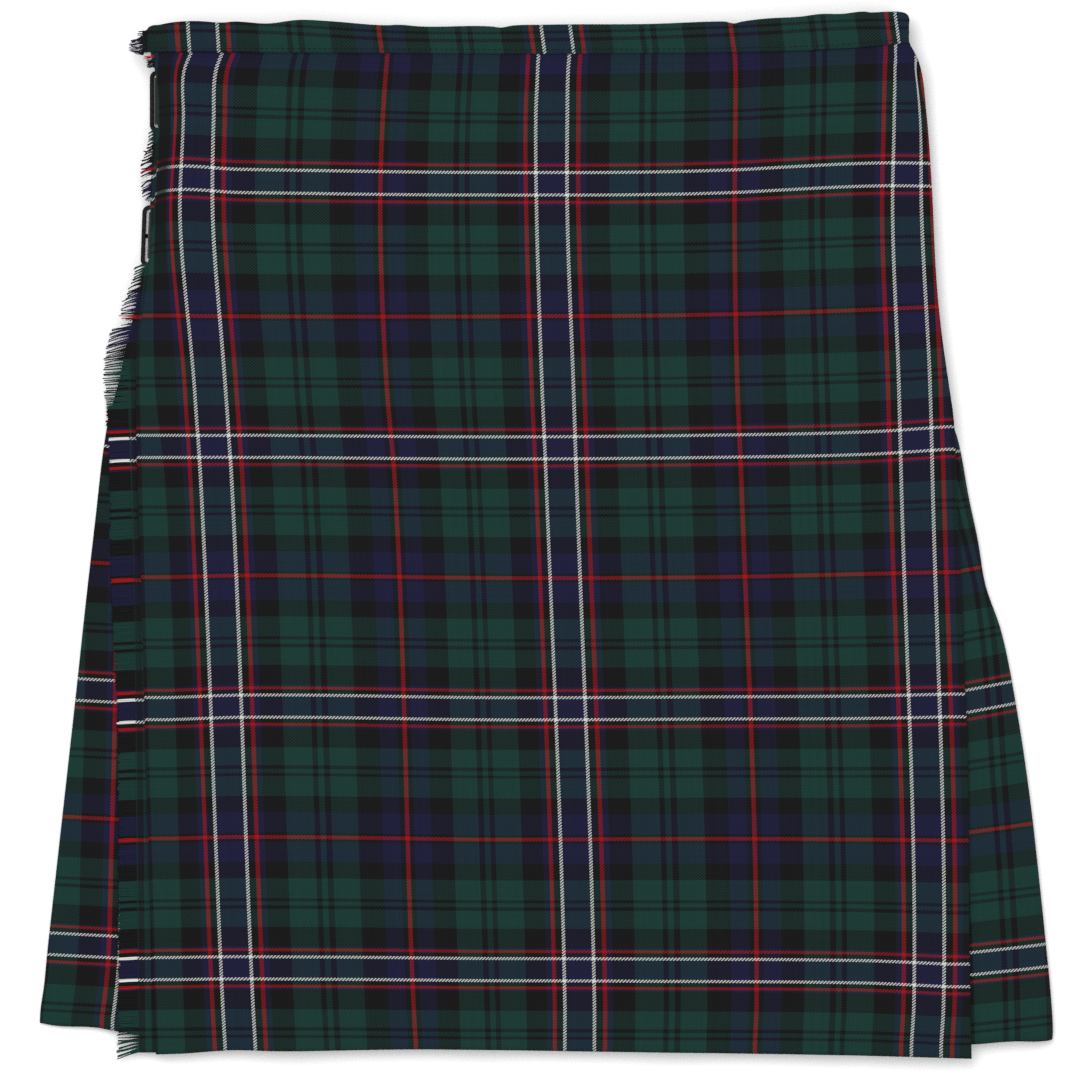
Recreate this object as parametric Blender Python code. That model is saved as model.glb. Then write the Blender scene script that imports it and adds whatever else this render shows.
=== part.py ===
# A Scottish kilt laid flat on its back: pleats on the floor, the two aprons on top.
# X runs to the wearer's left, Y up to the waist, Z up from the floor. Tables are in millimetres.
import math

import bmesh
import bpy

MM = 0.001

# Cloth and layers
CLOTH = 1.0            # thickness of one layer of tartan
SEAM = 0.3             # gap between two pieces that meet
PLY = 1.45             # height from the middle of one layer to the middle of the next
FLOOR_MID = CLOTH / 2  # middle of a layer that lies on the floor

# Pleated back
PLEATS = 16
REACH = 3.3            # how far a pleat's outer layer runs, in reveals: one shows, the rest is hidden
FOLD_PITCH = 1.25      # height between the two layers of a fold
FLAT_SHARE = 0.6       # share of each reveal that lies flat on the floor
SIDE_SHARE = 0.25      # share of the first and last reveal that belongs to the sides
END_ROOM = 0.45        # reveals kept free at the wearer's left, where the side turns up
BACK_ROWS = (281.0, 215.0, 150.0, 105.0, 60.0, -30.0, -103.0, -207.0, -255.0, -297.0)

# Outlines: height above the middle, then distance from the middle line
BACK_LEFT = ((281, -229.5), (215, -230.8), (150, -236.5), (60, -258.6), (-30, -269.2),
             (-103, -277.0), (-207, -288.8), (-297, -298.6))
BACK_RIGHT = ((281, 213.0), (215, 224.5), (150, 228.0), (60, 239.5), (-30, 258.5),
              (-103, 277.2), (-207, 290.8), (-297, 298.6))
LEFT_OUTLINE = ((281, -229.0), (273, -227.2), (239, -227.2), (221, -230.0), (194, -231.8), (160, -233.0),
                (148, -238.4), (126, -243.8), (107, -248.4), (95, -250.8), (82, -254.2), (67, -258.3), (52, -260.2),
                (9, -264.9), (-38, -270.1), (-101, -276.8), (-162, -283.6), (-215, -289.7),
                (-269, -296.0), (-287, -298.2), (-297, -298.6))
RIGHT_OUTLINE = ((281, 213.0), (248, 222.7), (206, 225.9), (150, 228.6), (121, 231.3), (90, 235.7),
                 (68, 239.4), (55, 243.3), (22, 249.4), (-3, 254.7), (-29, 259.1), (-56, 268.3),
                 (-103, 277.7), (-155, 285.4), (-207, 291.3), (-241, 294.8), (-271, 297.7),
                 (-294, 298.9), (-300, 298.4))
APRON_LEFT = ((300, -230.5), (275, -229.4), (238, -228.4), (197, -230.6), (168, -232.9), (138, -237.1),
              (109, -240.6), (80, -241.8), (62, -241.8), (-38, -238.5), (-156, -235.3),
              (-244, -232.1), (-306, -230.0))
APRON_RIGHT = ((300, 212.6), (286, 216.0), (279, 220.0), (248, 224.7), (206, 227.9), (150, 230.6),
               (121, 233.3), (90, 237.7), (68, 240.0), (24, 241.8), (-38, 244.7), (-87, 246.5),
               (-124, 248.3), (-174, 248.9), (-244, 249.4), (-308, 250.6))

# Edges that run across: distance from the middle line, then height
WAIST = ((-237, 296.0), (-232.9, 299.2), (-218.8, 301.9), (-190, 302.2), (-143, 303.3),
         (-94, 300.1), (-30, 299.2), (-4, 300.4), (71, 301.3), (103, 302.5), (127, 303.7),
         (162, 306.7), (186, 308.3), (206, 308.2), (214, 305.5))
BAND_FOOT = ((-237, 284.2), (-100, 283.6), (0, 283.3), (120, 284.4), (170, 286.0), (214, 289.8))
APRON_HEM = ((-238, -305.9), (-214, -305.1), (-184, -303.1), (-158, -303.6), (-75, -302.6),
             (32, -303.9), (121, -305.1), (186, -306.2), (250.6, -308.0))
BACK_HEM = ((-298.5, -287.4), (-290, -289.0), (-265, -290.1), (-252, -292.4), (-150, -298.0),
            (0, -301.0), (200, -301.5), (250.6, -300.4), (274, -298.6), (295, -298.0), (299, -295.5))

# Soft folds of the over apron: middle, top and bottom of the fold, half width and height
APRON_FOLDS = (
    {"x": -36, "top": 283, "bottom": 120, "half": 20, "height": 1.2},
    {"x": 8, "top": 283, "bottom": 40, "half": 24, "height": 1.5},
    {"x": 98, "top": 283, "bottom": 60, "half": 20, "height": 1.2},
    {"x": 134, "top": 283, "bottom": 150, "half": 20, "height": 1.0},
    {"x": -150, "top": -60, "bottom": -306, "half": 34, "height": 1.3},
    {"x": -40, "top": -120, "bottom": -306, "half": 30, "height": 1.0},
    {"x": 70, "top": -40, "bottom": -306, "half": 36, "height": 1.5},
    {"x": 165, "top": 20, "bottom": -306, "half": 28, "height": 1.2},
)

# Rows of the flat panels and the way the layers climb over what lies inside
APRON_ROWS = (300.0, 283.0, 272.0, 256.0, 240.0, 228.0, 215.0, 196.0, 177.0, 161.0, 146.0, 120.0, 90.0,
              60.0, 15.0, -30.0, -70.0, -103.0, -155.0, -207.0, -255.0, -306.0)
BAND_CLIMB = (240.0, 283.0)   # the aprons climb between these heights into their waistbands
LIFT = 8.5                    # the buckles hold the wearer's right side off the floor
LIFT_WIDTH = 200.0
LIFT_ROWS = (60.0, 150.0)
LIFT_ROOM = 0.5               # extra room above the pleats where they bend up over the buckles
APRON_TURN = ((300, 12.0), (150, 20.0), (-306, 48.0))  # cloth folded under the pressed edge
UNDER_EDGE = ((300, 178.0), (-306, 190.0))             # free edge of the under apron
STRIP_WIDTH = 8.0
BAND_OVERHANG = 3.0    # how far a waistband runs past the edge that it binds
BAND_UNDER_LEFT = -223.0
BAND_BACK_LEFT = -222.3

# Fringe
STRANDS = 196
STRAND_ROOT = ((239.5, -231.0), (197, -232.9), (162, -233.7), (157, -236.6), (138, -239.8), (109, -244.7), (80, -246.2),
               (62, -245.9), (-26, -243.0), (-250, -240.6), (-303, -239.4))
STRAND_TIP = ((239.5, -231.6), (237, -234.0), (221, -237.1), (216, -238.3), (199, -237.7), (195, -233.6),
              (163, -234.6), (158, -241.8), (148, -244.7), (137, -248.4), (126.6, -250.6),
              (121.5, -256.0), (115, -257.8), (104, -259.5), (80, -259.7), (56, -258.9),
              (-24, -256.2), (-61, -254.7), (-95, -252.6), (-179, -251.4), (-292, -251.4),
              (-306, -251.8))
STRAND_DROOP = 2.0
STRAND_THICK = 0.7
BAND_STRANDS = 9

# Leather and metal
STRAP_WIDTH = 28.0
STRAP_THICK = 1.6
CHAPE_WIDTH = 24.0
CHAPE_THICK = 1.4
STRAP_BUMP = STRAP_THICK + 0.6
STRAPS = (  # the leather's outermost edge and the buckle's, and how far both lean out toward the hem
    {"name": "waist", "height": 256.0, "bend": -229.2, "front": -233.4, "lean": 0.0},
    {"name": "hip", "height": 176.7, "bend": -234.4, "front": -238.0, "lean": 0.036},
)
FRAME_BAR = 2.6
FRAME_THICK = 1.8
FRAME_FOOT = 2.0      # height of the front bar above the floor, where the tongue passes under it
HEEL_FOOT = 2.3       # height of the heel bar above the floor, over the strap's end
FRAME_HIGH = 36.0
FRAME_LONG = 22.0
FRAME_CORNER = 4.0    # radius of the frame's outer corners
STRAP_SEWN = 42.0     # length of strap sewn under the apron
TOP_RADIUS = 2.4      # the strap's bend over the cloth
LOW_RADIUS = 3.0      # and its bend inside the buckle
TAIL_END = 14.0       # how far the strap runs past the heel bar
TAIL_MID = STRAP_THICK / 2 + 0.2
TONGUE_WIDTH = 2.2
TONGUE_THICK = 1.2
TONGUE_REACH = 4.8    # from the tongue's root to the outside of the heel bar
TONGUE_SLOT = (11.0, 3.4, 6.0)
SLOT_PLACE = (14.8, 2.2)               # distance from the heel bar, height above the floor
TAB_STEPS = (20.0, 8.0, 1.0)           # distances of the tab's points from the heel bar

MATERIALS = {
    "tartan": {"colour": (0.022, 0.052, 0.050, 1), "roughness": 0.85, "metallic": 0.0},
    "tartan_side": {"colour": (0.016, 0.040, 0.040, 1), "roughness": 0.85, "metallic": 0.0},
    "tartan_band": {"colour": (0.012, 0.034, 0.034, 1), "roughness": 0.85, "metallic": 0.0},
    "weft_thread": {"colour": (0.020, 0.030, 0.034, 1), "roughness": 0.9, "metallic": 0.0},
    "black_leather": {"colour": (0.008, 0.008, 0.009, 1), "roughness": 0.45, "metallic": 0.0},
    "buckle_steel": {"colour": (0.010, 0.010, 0.011, 1), "roughness": 0.3, "metallic": 0.0},
}


def clamp(value, low, high):
    return max(low, min(high, value))


def ease(share):
    share = clamp(share, 0.0, 1.0)
    return share * share * (3 - 2 * share)


def read(table, place):
    # Straight interpolation in a table whose first column rises or falls steadily.
    rows = table if table[0][0] < table[-1][0] else table[::-1]
    if place <= rows[0][0]:
        return rows[0][1]
    for (a, low), (b, high) in zip(rows, rows[1:]):
        if place <= b:
            return low + (high - low) * (place - a) / (b - a)
    return rows[-1][1]


def make_material(name):
    spec = MATERIALS[name]
    material = bpy.data.materials.new(name)
    material.use_nodes = True
    shader = material.node_tree.nodes["Principled BSDF"]
    shader.inputs["Base Color"].default_value = spec["colour"]
    shader.inputs["Roughness"].default_value = spec["roughness"]
    shader.inputs["Metallic"].default_value = spec["metallic"]
    return material


def add_object(name, mesh_builder, material):
    bmesh.ops.recalc_face_normals(mesh_builder, faces=mesh_builder.faces)
    mesh = bpy.data.meshes.new(name)
    mesh_builder.to_mesh(mesh)
    mesh_builder.free()
    mesh.materials.append(make_material(material))
    body = bpy.data.objects.new(name, mesh)
    bpy.context.collection.objects.link(body)
    return body


def offset_line(line, distance):
    # Moves a line of (x, y, z) points sideways in its X-Z section, keeping its corners.
    moved = []
    for index, (x, y, z) in enumerate(line):
        before = line[max(index - 1, 0)]
        after = line[min(index + 1, len(line) - 1)]
        normals = []
        for start, end in ((before, (x, y, z)), ((x, y, z), after)):
            run, climb = end[0] - start[0], end[2] - start[2]
            length = math.hypot(run, climb)
            if length > 1e-6:
                normals.append((-climb / length, run / length))
        nx = sum(n[0] for n in normals) / len(normals)
        nz = sum(n[1] for n in normals) / len(normals)
        scale = distance / (nx * nx + nz * nz)
        moved.append((x + nx * scale, y, z + nz * scale))
    return moved


def wall(name, lines, thickness, material):
    # Closed cloth wall through the middle lines of its rows.
    mesh_builder = bmesh.new()
    sides = []
    for distance in (thickness / 2, -thickness / 2):
        sides.append([[mesh_builder.verts.new([c * MM for c in point]) for point in offset_line(line, distance)]
                      for line in lines])
    upper, lower = sides
    new_face = mesh_builder.faces.new
    count = len(lines[0])
    for row in range(len(lines) - 1):
        for column in range(count - 1):
            for side in sides:
                new_face((side[row][column], side[row][column + 1],
                          side[row + 1][column + 1], side[row + 1][column]))
        for column in (0, count - 1):
            new_face((upper[row][column], upper[row + 1][column], lower[row + 1][column], lower[row][column]))
    for row in (0, len(lines) - 1):
        for column in range(count - 1):
            new_face((upper[row][column], upper[row][column + 1], lower[row][column + 1], lower[row][column]))
    return add_object(name, mesh_builder, material)


def tube(name, sections, material):
    # Closed body through equal closed sections, capped at both ends.
    mesh_builder = bmesh.new()
    rings = [[mesh_builder.verts.new([c * MM for c in point]) for point in section] for section in sections]
    for first, second in zip(rings, rings[1:]):
        for index in range(len(first)):
            following = (index + 1) % len(first)
            mesh_builder.faces.new((first[index], first[following], second[following], second[index]))
    for ring in (rings[0], rings[-1]):
        mesh_builder.faces.new(ring)
    return add_object(name, mesh_builder, material)


def reveal(y):
    return (read(BACK_RIGHT, y) - read(BACK_LEFT, y)) / PLEATS


def lift(x, y):
    # Height that the buckles give the wearer's right side, fading towards the middle.
    low, high = LIFT_ROWS
    along = clamp((y - low) / (high - low), 0.0, 1.0)
    across = clamp((x - read(BACK_LEFT, y)) / LIFT_WIDTH, 0.0, 1.0)
    return LIFT * along * (1 - across) ** 2


def back_top(x, y):
    # Middle of the highest pleat layer.
    steps = clamp((x - read(BACK_LEFT, y)) / reveal(y), 0.0, REACH)
    return FLOOR_MID + 2 * FOLD_PITCH * steps + lift(x, y)


def band_climb(y):
    low, high = BAND_CLIMB
    return ease((y - low) / (high - low))


def under_mid(x, y):
    along = clamp((y - LIFT_ROWS[0]) / 10.0, 0.0, 1.0)
    across = clamp((x - read(BACK_LEFT, y)) / LIFT_WIDTH, 0.0, 1.0)
    room = LIFT_ROOM * along * 4 * across * (1 - across)
    return back_top(x, y) + room + PLY * (1 + band_climb(y))


def strap_bump(x, y):
    total = 0.0
    for strap in STRAPS:
        along = 1 - ease((abs(y - strap["height"]) - STRAP_WIDTH / 2 - 1) / 16)
        across = 1 - ease((x - strap["bend"] - STRAP_SEWN - 6) / 22)
        total = max(total, along * across)
    return STRAP_BUMP * total


def strip_mid(x, y):
    return under_mid(x, y) + PLY * (1 + 2 * band_climb(y)) + strap_bump(x, y)


def apron_wave(x, y):
    height = 0.0
    for fold in APRON_FOLDS:
        across = abs(x - fold["x"]) / fold["half"]
        if across < 1 and fold["bottom"] <= y <= fold["top"]:
            ends = min(ease((fold["top"] - y) / 40), ease((y - fold["bottom"]) / 60 + (fold["bottom"] <= -306)))
            height += fold["height"] * ends * (0.5 + 0.5 * math.cos(math.pi * across))
    return height


def over_mid(x, y):
    left, right = read(APRON_LEFT, y), read(APRON_RIGHT, y)
    over_strip = 1 - ease((x - left - STRIP_WIDTH - 2) / 20)
    over_turn = 1 - ease((right - read(APRON_TURN, y) - 4 - x) / 16)
    return strip_mid(x, y) + PLY * max(over_strip, over_turn) + apron_wave(x, y)


def pleated_back():
    lines = []
    for y_row in BACK_ROWS:
        start, step = read(BACK_LEFT, y_row), reveal(y_row)
        section = [(start + SIDE_SHARE * step, FLOOR_MID)]
        for pleat in range(PLEATS):
            origin = start + pleat * step
            last = pleat == PLEATS - 1
            if last:
                section.append((origin + (1 - SIDE_SHARE) * step, FLOOR_MID))
                break
            reach = min(REACH, PLEATS - pleat - END_ROOM)
            far, near = origin + reach * step, origin + step
            top = FLOOR_MID + 2 * FOLD_PITCH * reach
            half = FOLD_PITCH / 2
            section += [
                (origin + FLAT_SHARE * step, FLOOR_MID),
                (near, FLOOR_MID + 2 * FOLD_PITCH),
                (far - half, top),
                (far, top - half),
                (far - half, top - FOLD_PITCH),
                (near + half, FLOOR_MID + FOLD_PITCH),
                (near, FLOOR_MID + half),
                (near + half, FLOOR_MID),
            ]
        line = []
        for x, z in section:
            edge = read(BACK_HEM, x) - BACK_ROWS[-1] + 1.0 if y_row == BACK_ROWS[-1] else 0.0
            line.append((x, y_row + edge, z + lift(x, y_row)))
        lines.append(line)
    wall("pleated_back", lines, CLOTH, "tartan")


def under_apron():
    rows = (299.0,) + APRON_ROWS[1:-1] + (-297.0,)
    flat_columns = (0.12, 0.28, 0.5, 0.75, 1.0)
    lines = []
    for y in rows:
        outline = read(LEFT_OUTLINE, y)
        seam = read(BACK_LEFT, y) + SIDE_SHARE * reveal(y) - SEAM
        edge = read(UNDER_EDGE, y)
        fold = PLY * (1 + band_climb(y))
        low = FLOOR_MID + lift(outline, y)
        line = [(seam, low), (outline + 1.6, low), (outline + CLOTH / 2, low + fold / 2)]
        start, kink = outline + 1.6, read(BACK_LEFT, y) + REACH * reveal(y)
        slope = [start + (kink - start) * step / 4 for step in range(5)]
        flat = [kink + (edge - kink) * share for share in flat_columns]
        line += [(x, under_mid(x, y)) for x in slope + flat]
        points = []
        for x, z in line:
            shift = 0.0
            if y == rows[0]:
                shift = read(WAIST, x) - 3.0 - rows[0]
            if y == rows[-1]:
                shift = read(BACK_HEM, x) - rows[-1]
            points.append((x, y + shift, z))
        lines.append(points)
    wall("under_apron", lines, CLOTH, "tartan_side")


def left_side():
    rows = (281.0,) + APRON_ROWS[2:-1] + (-297.0,)
    lines = []
    for y in rows:
        outline = read(RIGHT_OUTLINE, y) - CLOTH / 2
        seam = read(BACK_RIGHT, y) - SIDE_SHARE * reveal(y) + SEAM
        turn = 0.62 * reveal(y)
        inner = min(read(APRON_RIGHT, y) - read(APRON_TURN, y), outline - turn - 5.0)
        top = FLOOR_MID + 2 * FOLD_PITCH * REACH + PLY
        low = 3.2
        line = [(seam, FLOOR_MID)]
        for angle in (-90, -45, 0, 18, 36, 54, 72, 90):
            swing = math.radians(angle)
            reach, height = (2.6, low - FLOOR_MID) if angle < 0 else (turn, top - low)
            line.append((outline - reach * (1 - math.cos(swing)), low + height * math.sin(swing)))
        line.append((inner, top))
        points = []
        for x, z in line:
            shift = read(BACK_HEM, x) - rows[-1] + 0.6 if y == rows[-1] else 0.0
            points.append((x, y + shift, z))
        lines.append(points)
    wall("left_side", lines, CLOTH, "tartan_side")


def over_apron():
    columns = 26
    lines = []
    for y in APRON_ROWS:
        left, right = read(APRON_LEFT, y) + SEAM, read(APRON_RIGHT, y)
        line = []
        for index in range(columns):
            x = left + (right - 1.6 - left) * index / (columns - 1)
            line.append((x, over_mid(x, y)))
        edge_z = line[-1][1]
        turn = read(APRON_TURN, y)
        line += [(right - CLOTH / 2, edge_z - PLY / 2), (right - 1.6, edge_z - PLY),
                 (right - turn, over_mid(right - turn, y) - PLY)]
        points = []
        for x, z in line:
            shift = 0.0
            if y == APRON_ROWS[0]:
                shift = read(WAIST, x) - 3.0 - APRON_ROWS[0]
            if y == APRON_ROWS[-1]:
                shift = read(APRON_HEM, x) - APRON_ROWS[-1]
            points.append((x, y + shift, z))
        lines.append(points)
    wall("over_apron", lines, CLOTH, "tartan")


def folded_band(name, x_from, x_to, overhang, panel_mid, turn_drop):
    # A strip folded over a panel's top edge: front leg, rounded top, back leg.
    columns = 22
    sections = []
    half = CLOTH / 2
    for index in range(-1, columns):
        x = x_from + (x_to - x_from) * index / (columns - 1) if index >= 0 else x_from - overhang
        foot, top = read(BAND_FOOT, x), read(WAIST, x)
        drop = turn_drop(x)
        outer_low, outer_top = panel_mid(x, foot) + PLY + half, panel_mid(x, top) + PLY + half
        inner_low, inner_top = panel_mid(x, foot) - PLY - drop - half, panel_mid(x, top) - PLY - drop - half
        middle = (outer_top + inner_top) / 2
        sections.append([
            (x, foot, outer_low), (x, top - 1.4, outer_top), (x, top - 0.3, outer_top - 0.9),
            (x, top, middle), (x, top - 0.3, inner_top + 0.9), (x, top - 1.4, inner_top),
            (x, foot, inner_low), (x, foot, inner_low + CLOTH), (x, top - 1.8, inner_top + CLOTH),
            (x, top - 1.8, outer_top - CLOTH), (x, foot, outer_low - CLOTH),
        ])
    tube(name, sections, "tartan_band")


def front_turn_drop(x):
    return PLY * ease((x - 184.0) / 12.0)


def waistbands():
    folded_band("waistband_front", -234.0, 213.4, BAND_OVERHANG, over_mid, front_turn_drop)
    folded_band("waistband_under", BAND_UNDER_LEFT, 176.0, BAND_OVERHANG, under_mid, lambda x: 0.0)
    # Behind, the strip and the sewn pleat tops inside it are one rounded body.
    columns = 20
    sections = []
    for index in range(columns):
        x = BAND_BACK_LEFT + (211.5 - BAND_BACK_LEFT) * index / (columns - 1)
        foot, top = BACK_ROWS[0] + SEAM, read(WAIST, x) - 1.5
        low, high = lift(x, top), back_top(x, top) + CLOTH / 2
        bevel = min(1.5, (high - low) / 3)
        sections.append([(x, foot, low), (x, top - bevel, low), (x, top, low + bevel),
                         (x, top, high - bevel), (x, top - bevel, high), (x, foot, high)])
    tube("waistband_back", sections, "tartan_band")


def comb(name, roots, tips, backs, thickness, material):
    # A narrow strip with one tapered strand for each gap between its root points.
    mesh_builder = bmesh.new()
    new_vert, new_face = mesh_builder.verts.new, mesh_builder.faces.new
    half = thickness / 2

    def pair(point):
        x, y, z = point
        return [new_vert((x * MM, y * MM, (z + side) * MM)) for side in (half, -half)]

    root_pairs = [pair(point) for point in roots]
    back_pairs = [pair(point) for point in backs]
    for index, tip in enumerate(tips):
        a, b = root_pairs[index], root_pairs[index + 1]
        c, d = back_pairs[index], back_pairs[index + 1]
        new_face((a[0], b[0], d[0], c[0]))
        new_face((a[1], c[1], d[1], b[1]))
        new_face((c[0], d[0], d[1], c[1]))
        if tip is None:
            new_face((a[0], a[1], b[1], b[0]))
            continue
        point = new_vert([c * MM for c in tip])
        new_face((a[0], point, b[0]))
        new_face((a[1], b[1], point))
        new_face((a[0], a[1], point))
        new_face((b[0], point, b[1]))
    for a, c in ((root_pairs[0], back_pairs[0]), (root_pairs[-1], back_pairs[-1])):
        new_face((a[0], c[0], c[1], a[1]))
    return add_object(name, mesh_builder, material)


def fringes():
    top, bottom = STRAND_ROOT[0][0], STRAND_ROOT[-1][0]
    roots, tips, backs = [], [], []
    for index in range(STRANDS + 1):
        y = top + (bottom - top) * index / STRANDS
        root, back = read(STRAND_ROOT, y), read(APRON_LEFT, y) + 3.0
        roots.append((root, y, strip_mid(root, y)))
        backs.append((back, y, strip_mid(back, y)))
        if index == STRANDS:
            break
        middle = y + (bottom - top) / STRANDS / 2
        jitter = math.sin(index * 12.9898) * 0.9
        tip_x = read(STRAND_TIP, middle) + jitter
        root_x = read(STRAND_ROOT, middle)
        if root_x - tip_x < 2.5:
            tips.append(None)
            continue
        outline = read(LEFT_OUTLINE, middle)
        height = under_mid(max(tip_x, outline), middle) + PLY * 0.85
        hanging = 0.15 * clamp(outline - tip_x - 2.0, 0.0, 12.0)
        tips.append((tip_x, middle - STRAND_DROOP, height - hanging))
    comb("apron_fringe", roots, tips, backs, STRAND_THICK, "weft_thread")

    band_top, band_low, x = 294.5, 285.0, -234.6 - BAND_OVERHANG
    roots, tips, backs = [], [], []
    for index in range(BAND_STRANDS + 1):
        y = band_top + (band_low - band_top) * index / BAND_STRANDS
        z = over_mid(x, y) + PLY
        roots.append((x - 1.6, y, z))
        backs.append((x, y, z))
        if index < BAND_STRANDS:
            reach = 3.2 * math.sin(math.pi * (index + 1) / (BAND_STRANDS + 1)) + 0.8
            tips.append((x - 2.0 - reach, y - 0.9, z - 1.2))
    comb("band_fringe", roots, tips, backs, STRAND_THICK, "weft_thread")


def leather(name, path_at, y_mid, width, thickness):
    # A strap of even width along a path in the X-Z section, which follows the cloth across its width.
    lines = []
    for side in (-1, 0, 1):
        y = y_mid + side * width / 2
        lines.append([(x, y, z) for x, z in path_at(y)])
    return wall(name, lines, thickness, "black_leather")


def leaning(strap, y):
    return strap["lean"] * (y - strap["height"])


def strap_path(strap, y):
    # Sewn under the apron, round the wearer's right side, then down through the frame and under its heel bar.
    bend, half = strap["bend"] + leaning(strap, y), STRAP_THICK / 2
    path = []
    for step in range(6):
        x = bend + STRAP_SEWN - (STRAP_SEWN - half - TOP_RADIUS - 1.0) * step / 5
        path.append((x, under_mid(x, y) + CLOTH / 2 + 0.4 + half))
    high = path[-1][1]
    for radius, middle, turn in ((TOP_RADIUS, high - TOP_RADIUS, 90), (LOW_RADIUS, TAIL_MID + LOW_RADIUS, 180)):
        for step in range(4):
            swing = math.radians(turn + 30 * step)
            path.append((bend + half + radius * (1 + math.cos(swing)), middle + radius * math.sin(swing)))
    heel = strap["front"] + FRAME_LONG + leaning(strap, y)
    return path + [(heel + TAIL_END, TAIL_MID)]


def frame_ring(strap, inset, side):
    # One closed line of the frame with rounded corners. It slopes up a little to its heel bar.
    slope = (HEEL_FOOT - FRAME_FOOT) / FRAME_LONG
    radius = FRAME_CORNER - inset
    ring = []
    for corner, (along, across) in enumerate(((0, -1), (1, -1), (1, 1), (0, 1))):
        x_mid = FRAME_LONG - FRAME_CORNER if along else FRAME_CORNER
        y_mid = across * (FRAME_HIGH / 2 - FRAME_CORNER)
        for step in range(4):
            swing = math.radians(180 + 90 * corner + 30 * step)
            x, y = x_mid + radius * math.cos(swing), strap["height"] + y_mid + radius * math.sin(swing)
            ring.append((strap["front"] + leaning(strap, y) + x, y, FRAME_FOOT + slope * x + side))
    return ring


def buckle_frame(strap):
    mesh_builder = bmesh.new()
    rings = [
        [mesh_builder.verts.new([c * MM for c in point]) for point in frame_ring(strap, inset, side)]
        for inset, side in ((0.0, 0.0), (0.0, FRAME_THICK), (FRAME_BAR, FRAME_THICK), (FRAME_BAR, 0.0))
    ]
    for first, second in zip(rings, rings[1:] + rings[:1]):
        for index in range(len(first)):
            following = (index + 1) % len(first)
            mesh_builder.faces.new((first[index], first[following], second[following], second[index]))
    add_object("buckle_" + strap["name"], mesh_builder, "buckle_steel")


def strap_and_buckle(strap):
    y_mid, name, front = strap["height"], strap["name"], strap["front"]
    heel = front + FRAME_LONG
    leather_strap = leather("strap_" + name, lambda y: strap_path(strap, y), y_mid, STRAP_WIDTH, STRAP_THICK)
    buckle_frame(strap)

    # The tongue starts at the heel bar, goes through the strap and ends under the front bar.
    tongue = ((heel - TONGUE_REACH, HEEL_FOOT + 1.0), (front + 0.4, TONGUE_THICK / 2 + 0.15))
    lines = [[(x, y_mid + side * TONGUE_WIDTH / 2, z) for x, z in tongue] for side in (-1, 1)]
    wall("prong_" + name, lines, TONGUE_THICK, "buckle_steel")
    place, height = SLOT_PLACE
    bpy.ops.mesh.primitive_cube_add(size=1.0, location=((heel - place) * MM, y_mid * MM, height * MM))
    cutter = bpy.context.object
    cutter.name = "slot_cutter_" + name
    cutter.scale = [size * MM for size in TONGUE_SLOT]
    cutter.hide_render = True
    cutter.display_type = "WIRE"
    slot = leather_strap.modifiers.new("tongue slot", "BOOLEAN")
    slot.operation = "DIFFERENCE"
    slot.solver = "EXACT"
    slot.object = cutter

    # The tab lies on the cloth and hooks down in front of the heel bar.
    def tab_path(y):
        end = heel + leaning(strap, y)
        hook = end - FRAME_BAR - SEAM - CHAPE_THICK / 2
        path = [(end + step, lift(end + step, y) - SEAM - CHAPE_THICK / 2) for step in TAB_STEPS]
        return path + [(hook, path[-1][1] - 0.2), (hook, HEEL_FOOT + 0.7)]

    leather("chape_" + name, tab_path, y_mid, CHAPE_WIDTH, CHAPE_THICK)


def main():
    for old in list(bpy.data.objects):
        bpy.data.objects.remove(old, do_unlink=True)
    pleated_back()
    under_apron()
    left_side()
    over_apron()
    waistbands()
    fringes()
    for strap in STRAPS:
        strap_and_buckle(strap)


main()
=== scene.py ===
# A Scottish kilt laid flat on its back: woollen tartan, a fringed over apron and two leather straps.
# +X is the wearer's left, +Y the waist and +Z up from the floor. Tables are in millimetres.
import math

import bpy
import numpy as np
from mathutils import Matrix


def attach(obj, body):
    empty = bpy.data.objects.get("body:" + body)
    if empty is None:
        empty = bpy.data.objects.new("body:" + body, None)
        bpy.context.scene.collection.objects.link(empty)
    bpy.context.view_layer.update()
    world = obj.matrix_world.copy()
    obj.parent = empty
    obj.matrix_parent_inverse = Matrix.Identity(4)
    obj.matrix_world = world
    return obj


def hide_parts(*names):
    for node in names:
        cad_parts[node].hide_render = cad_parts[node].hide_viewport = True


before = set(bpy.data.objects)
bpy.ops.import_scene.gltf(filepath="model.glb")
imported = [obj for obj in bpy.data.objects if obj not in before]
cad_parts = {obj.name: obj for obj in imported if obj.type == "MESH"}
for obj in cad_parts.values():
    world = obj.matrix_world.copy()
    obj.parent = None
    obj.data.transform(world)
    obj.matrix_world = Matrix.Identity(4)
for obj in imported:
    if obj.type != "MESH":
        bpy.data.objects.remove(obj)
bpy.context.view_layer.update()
mm = 0.001

# reading tables
def ease(share):
    share = np.clip(share, 0, 1)
    return share * share * (3 - 2 * share)


def straight(table, places, column=1):
    rows = np.array(sorted(table), float)
    return np.interp(places, rows[:, 0], rows[:, column])


def smooth(table, places, column=1):
    # a soft curve through the table's rows
    rows = np.array(sorted(table), float)
    xs, ys = rows[:, 0], rows[:, column]
    steps = np.diff(ys) / np.diff(xs)
    slopes = np.concatenate([steps[:1], (steps[1:] + steps[:-1]) / 2, steps[-1:]])
    places = np.clip(np.asarray(places, float), xs[0], xs[-1])
    cell = np.clip(np.searchsorted(xs, places) - 1, 0, len(xs) - 2)
    width = xs[cell + 1] - xs[cell]
    t = (places - xs[cell]) / width
    return (ys[cell] * (1 + 2 * t) * (1 - t) ** 2 + ys[cell + 1] * t * t * (3 - 2 * t)
            + width * (slopes[cell] * t * (1 - t) ** 2 - slopes[cell + 1] * t * t * (1 - t)))


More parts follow.
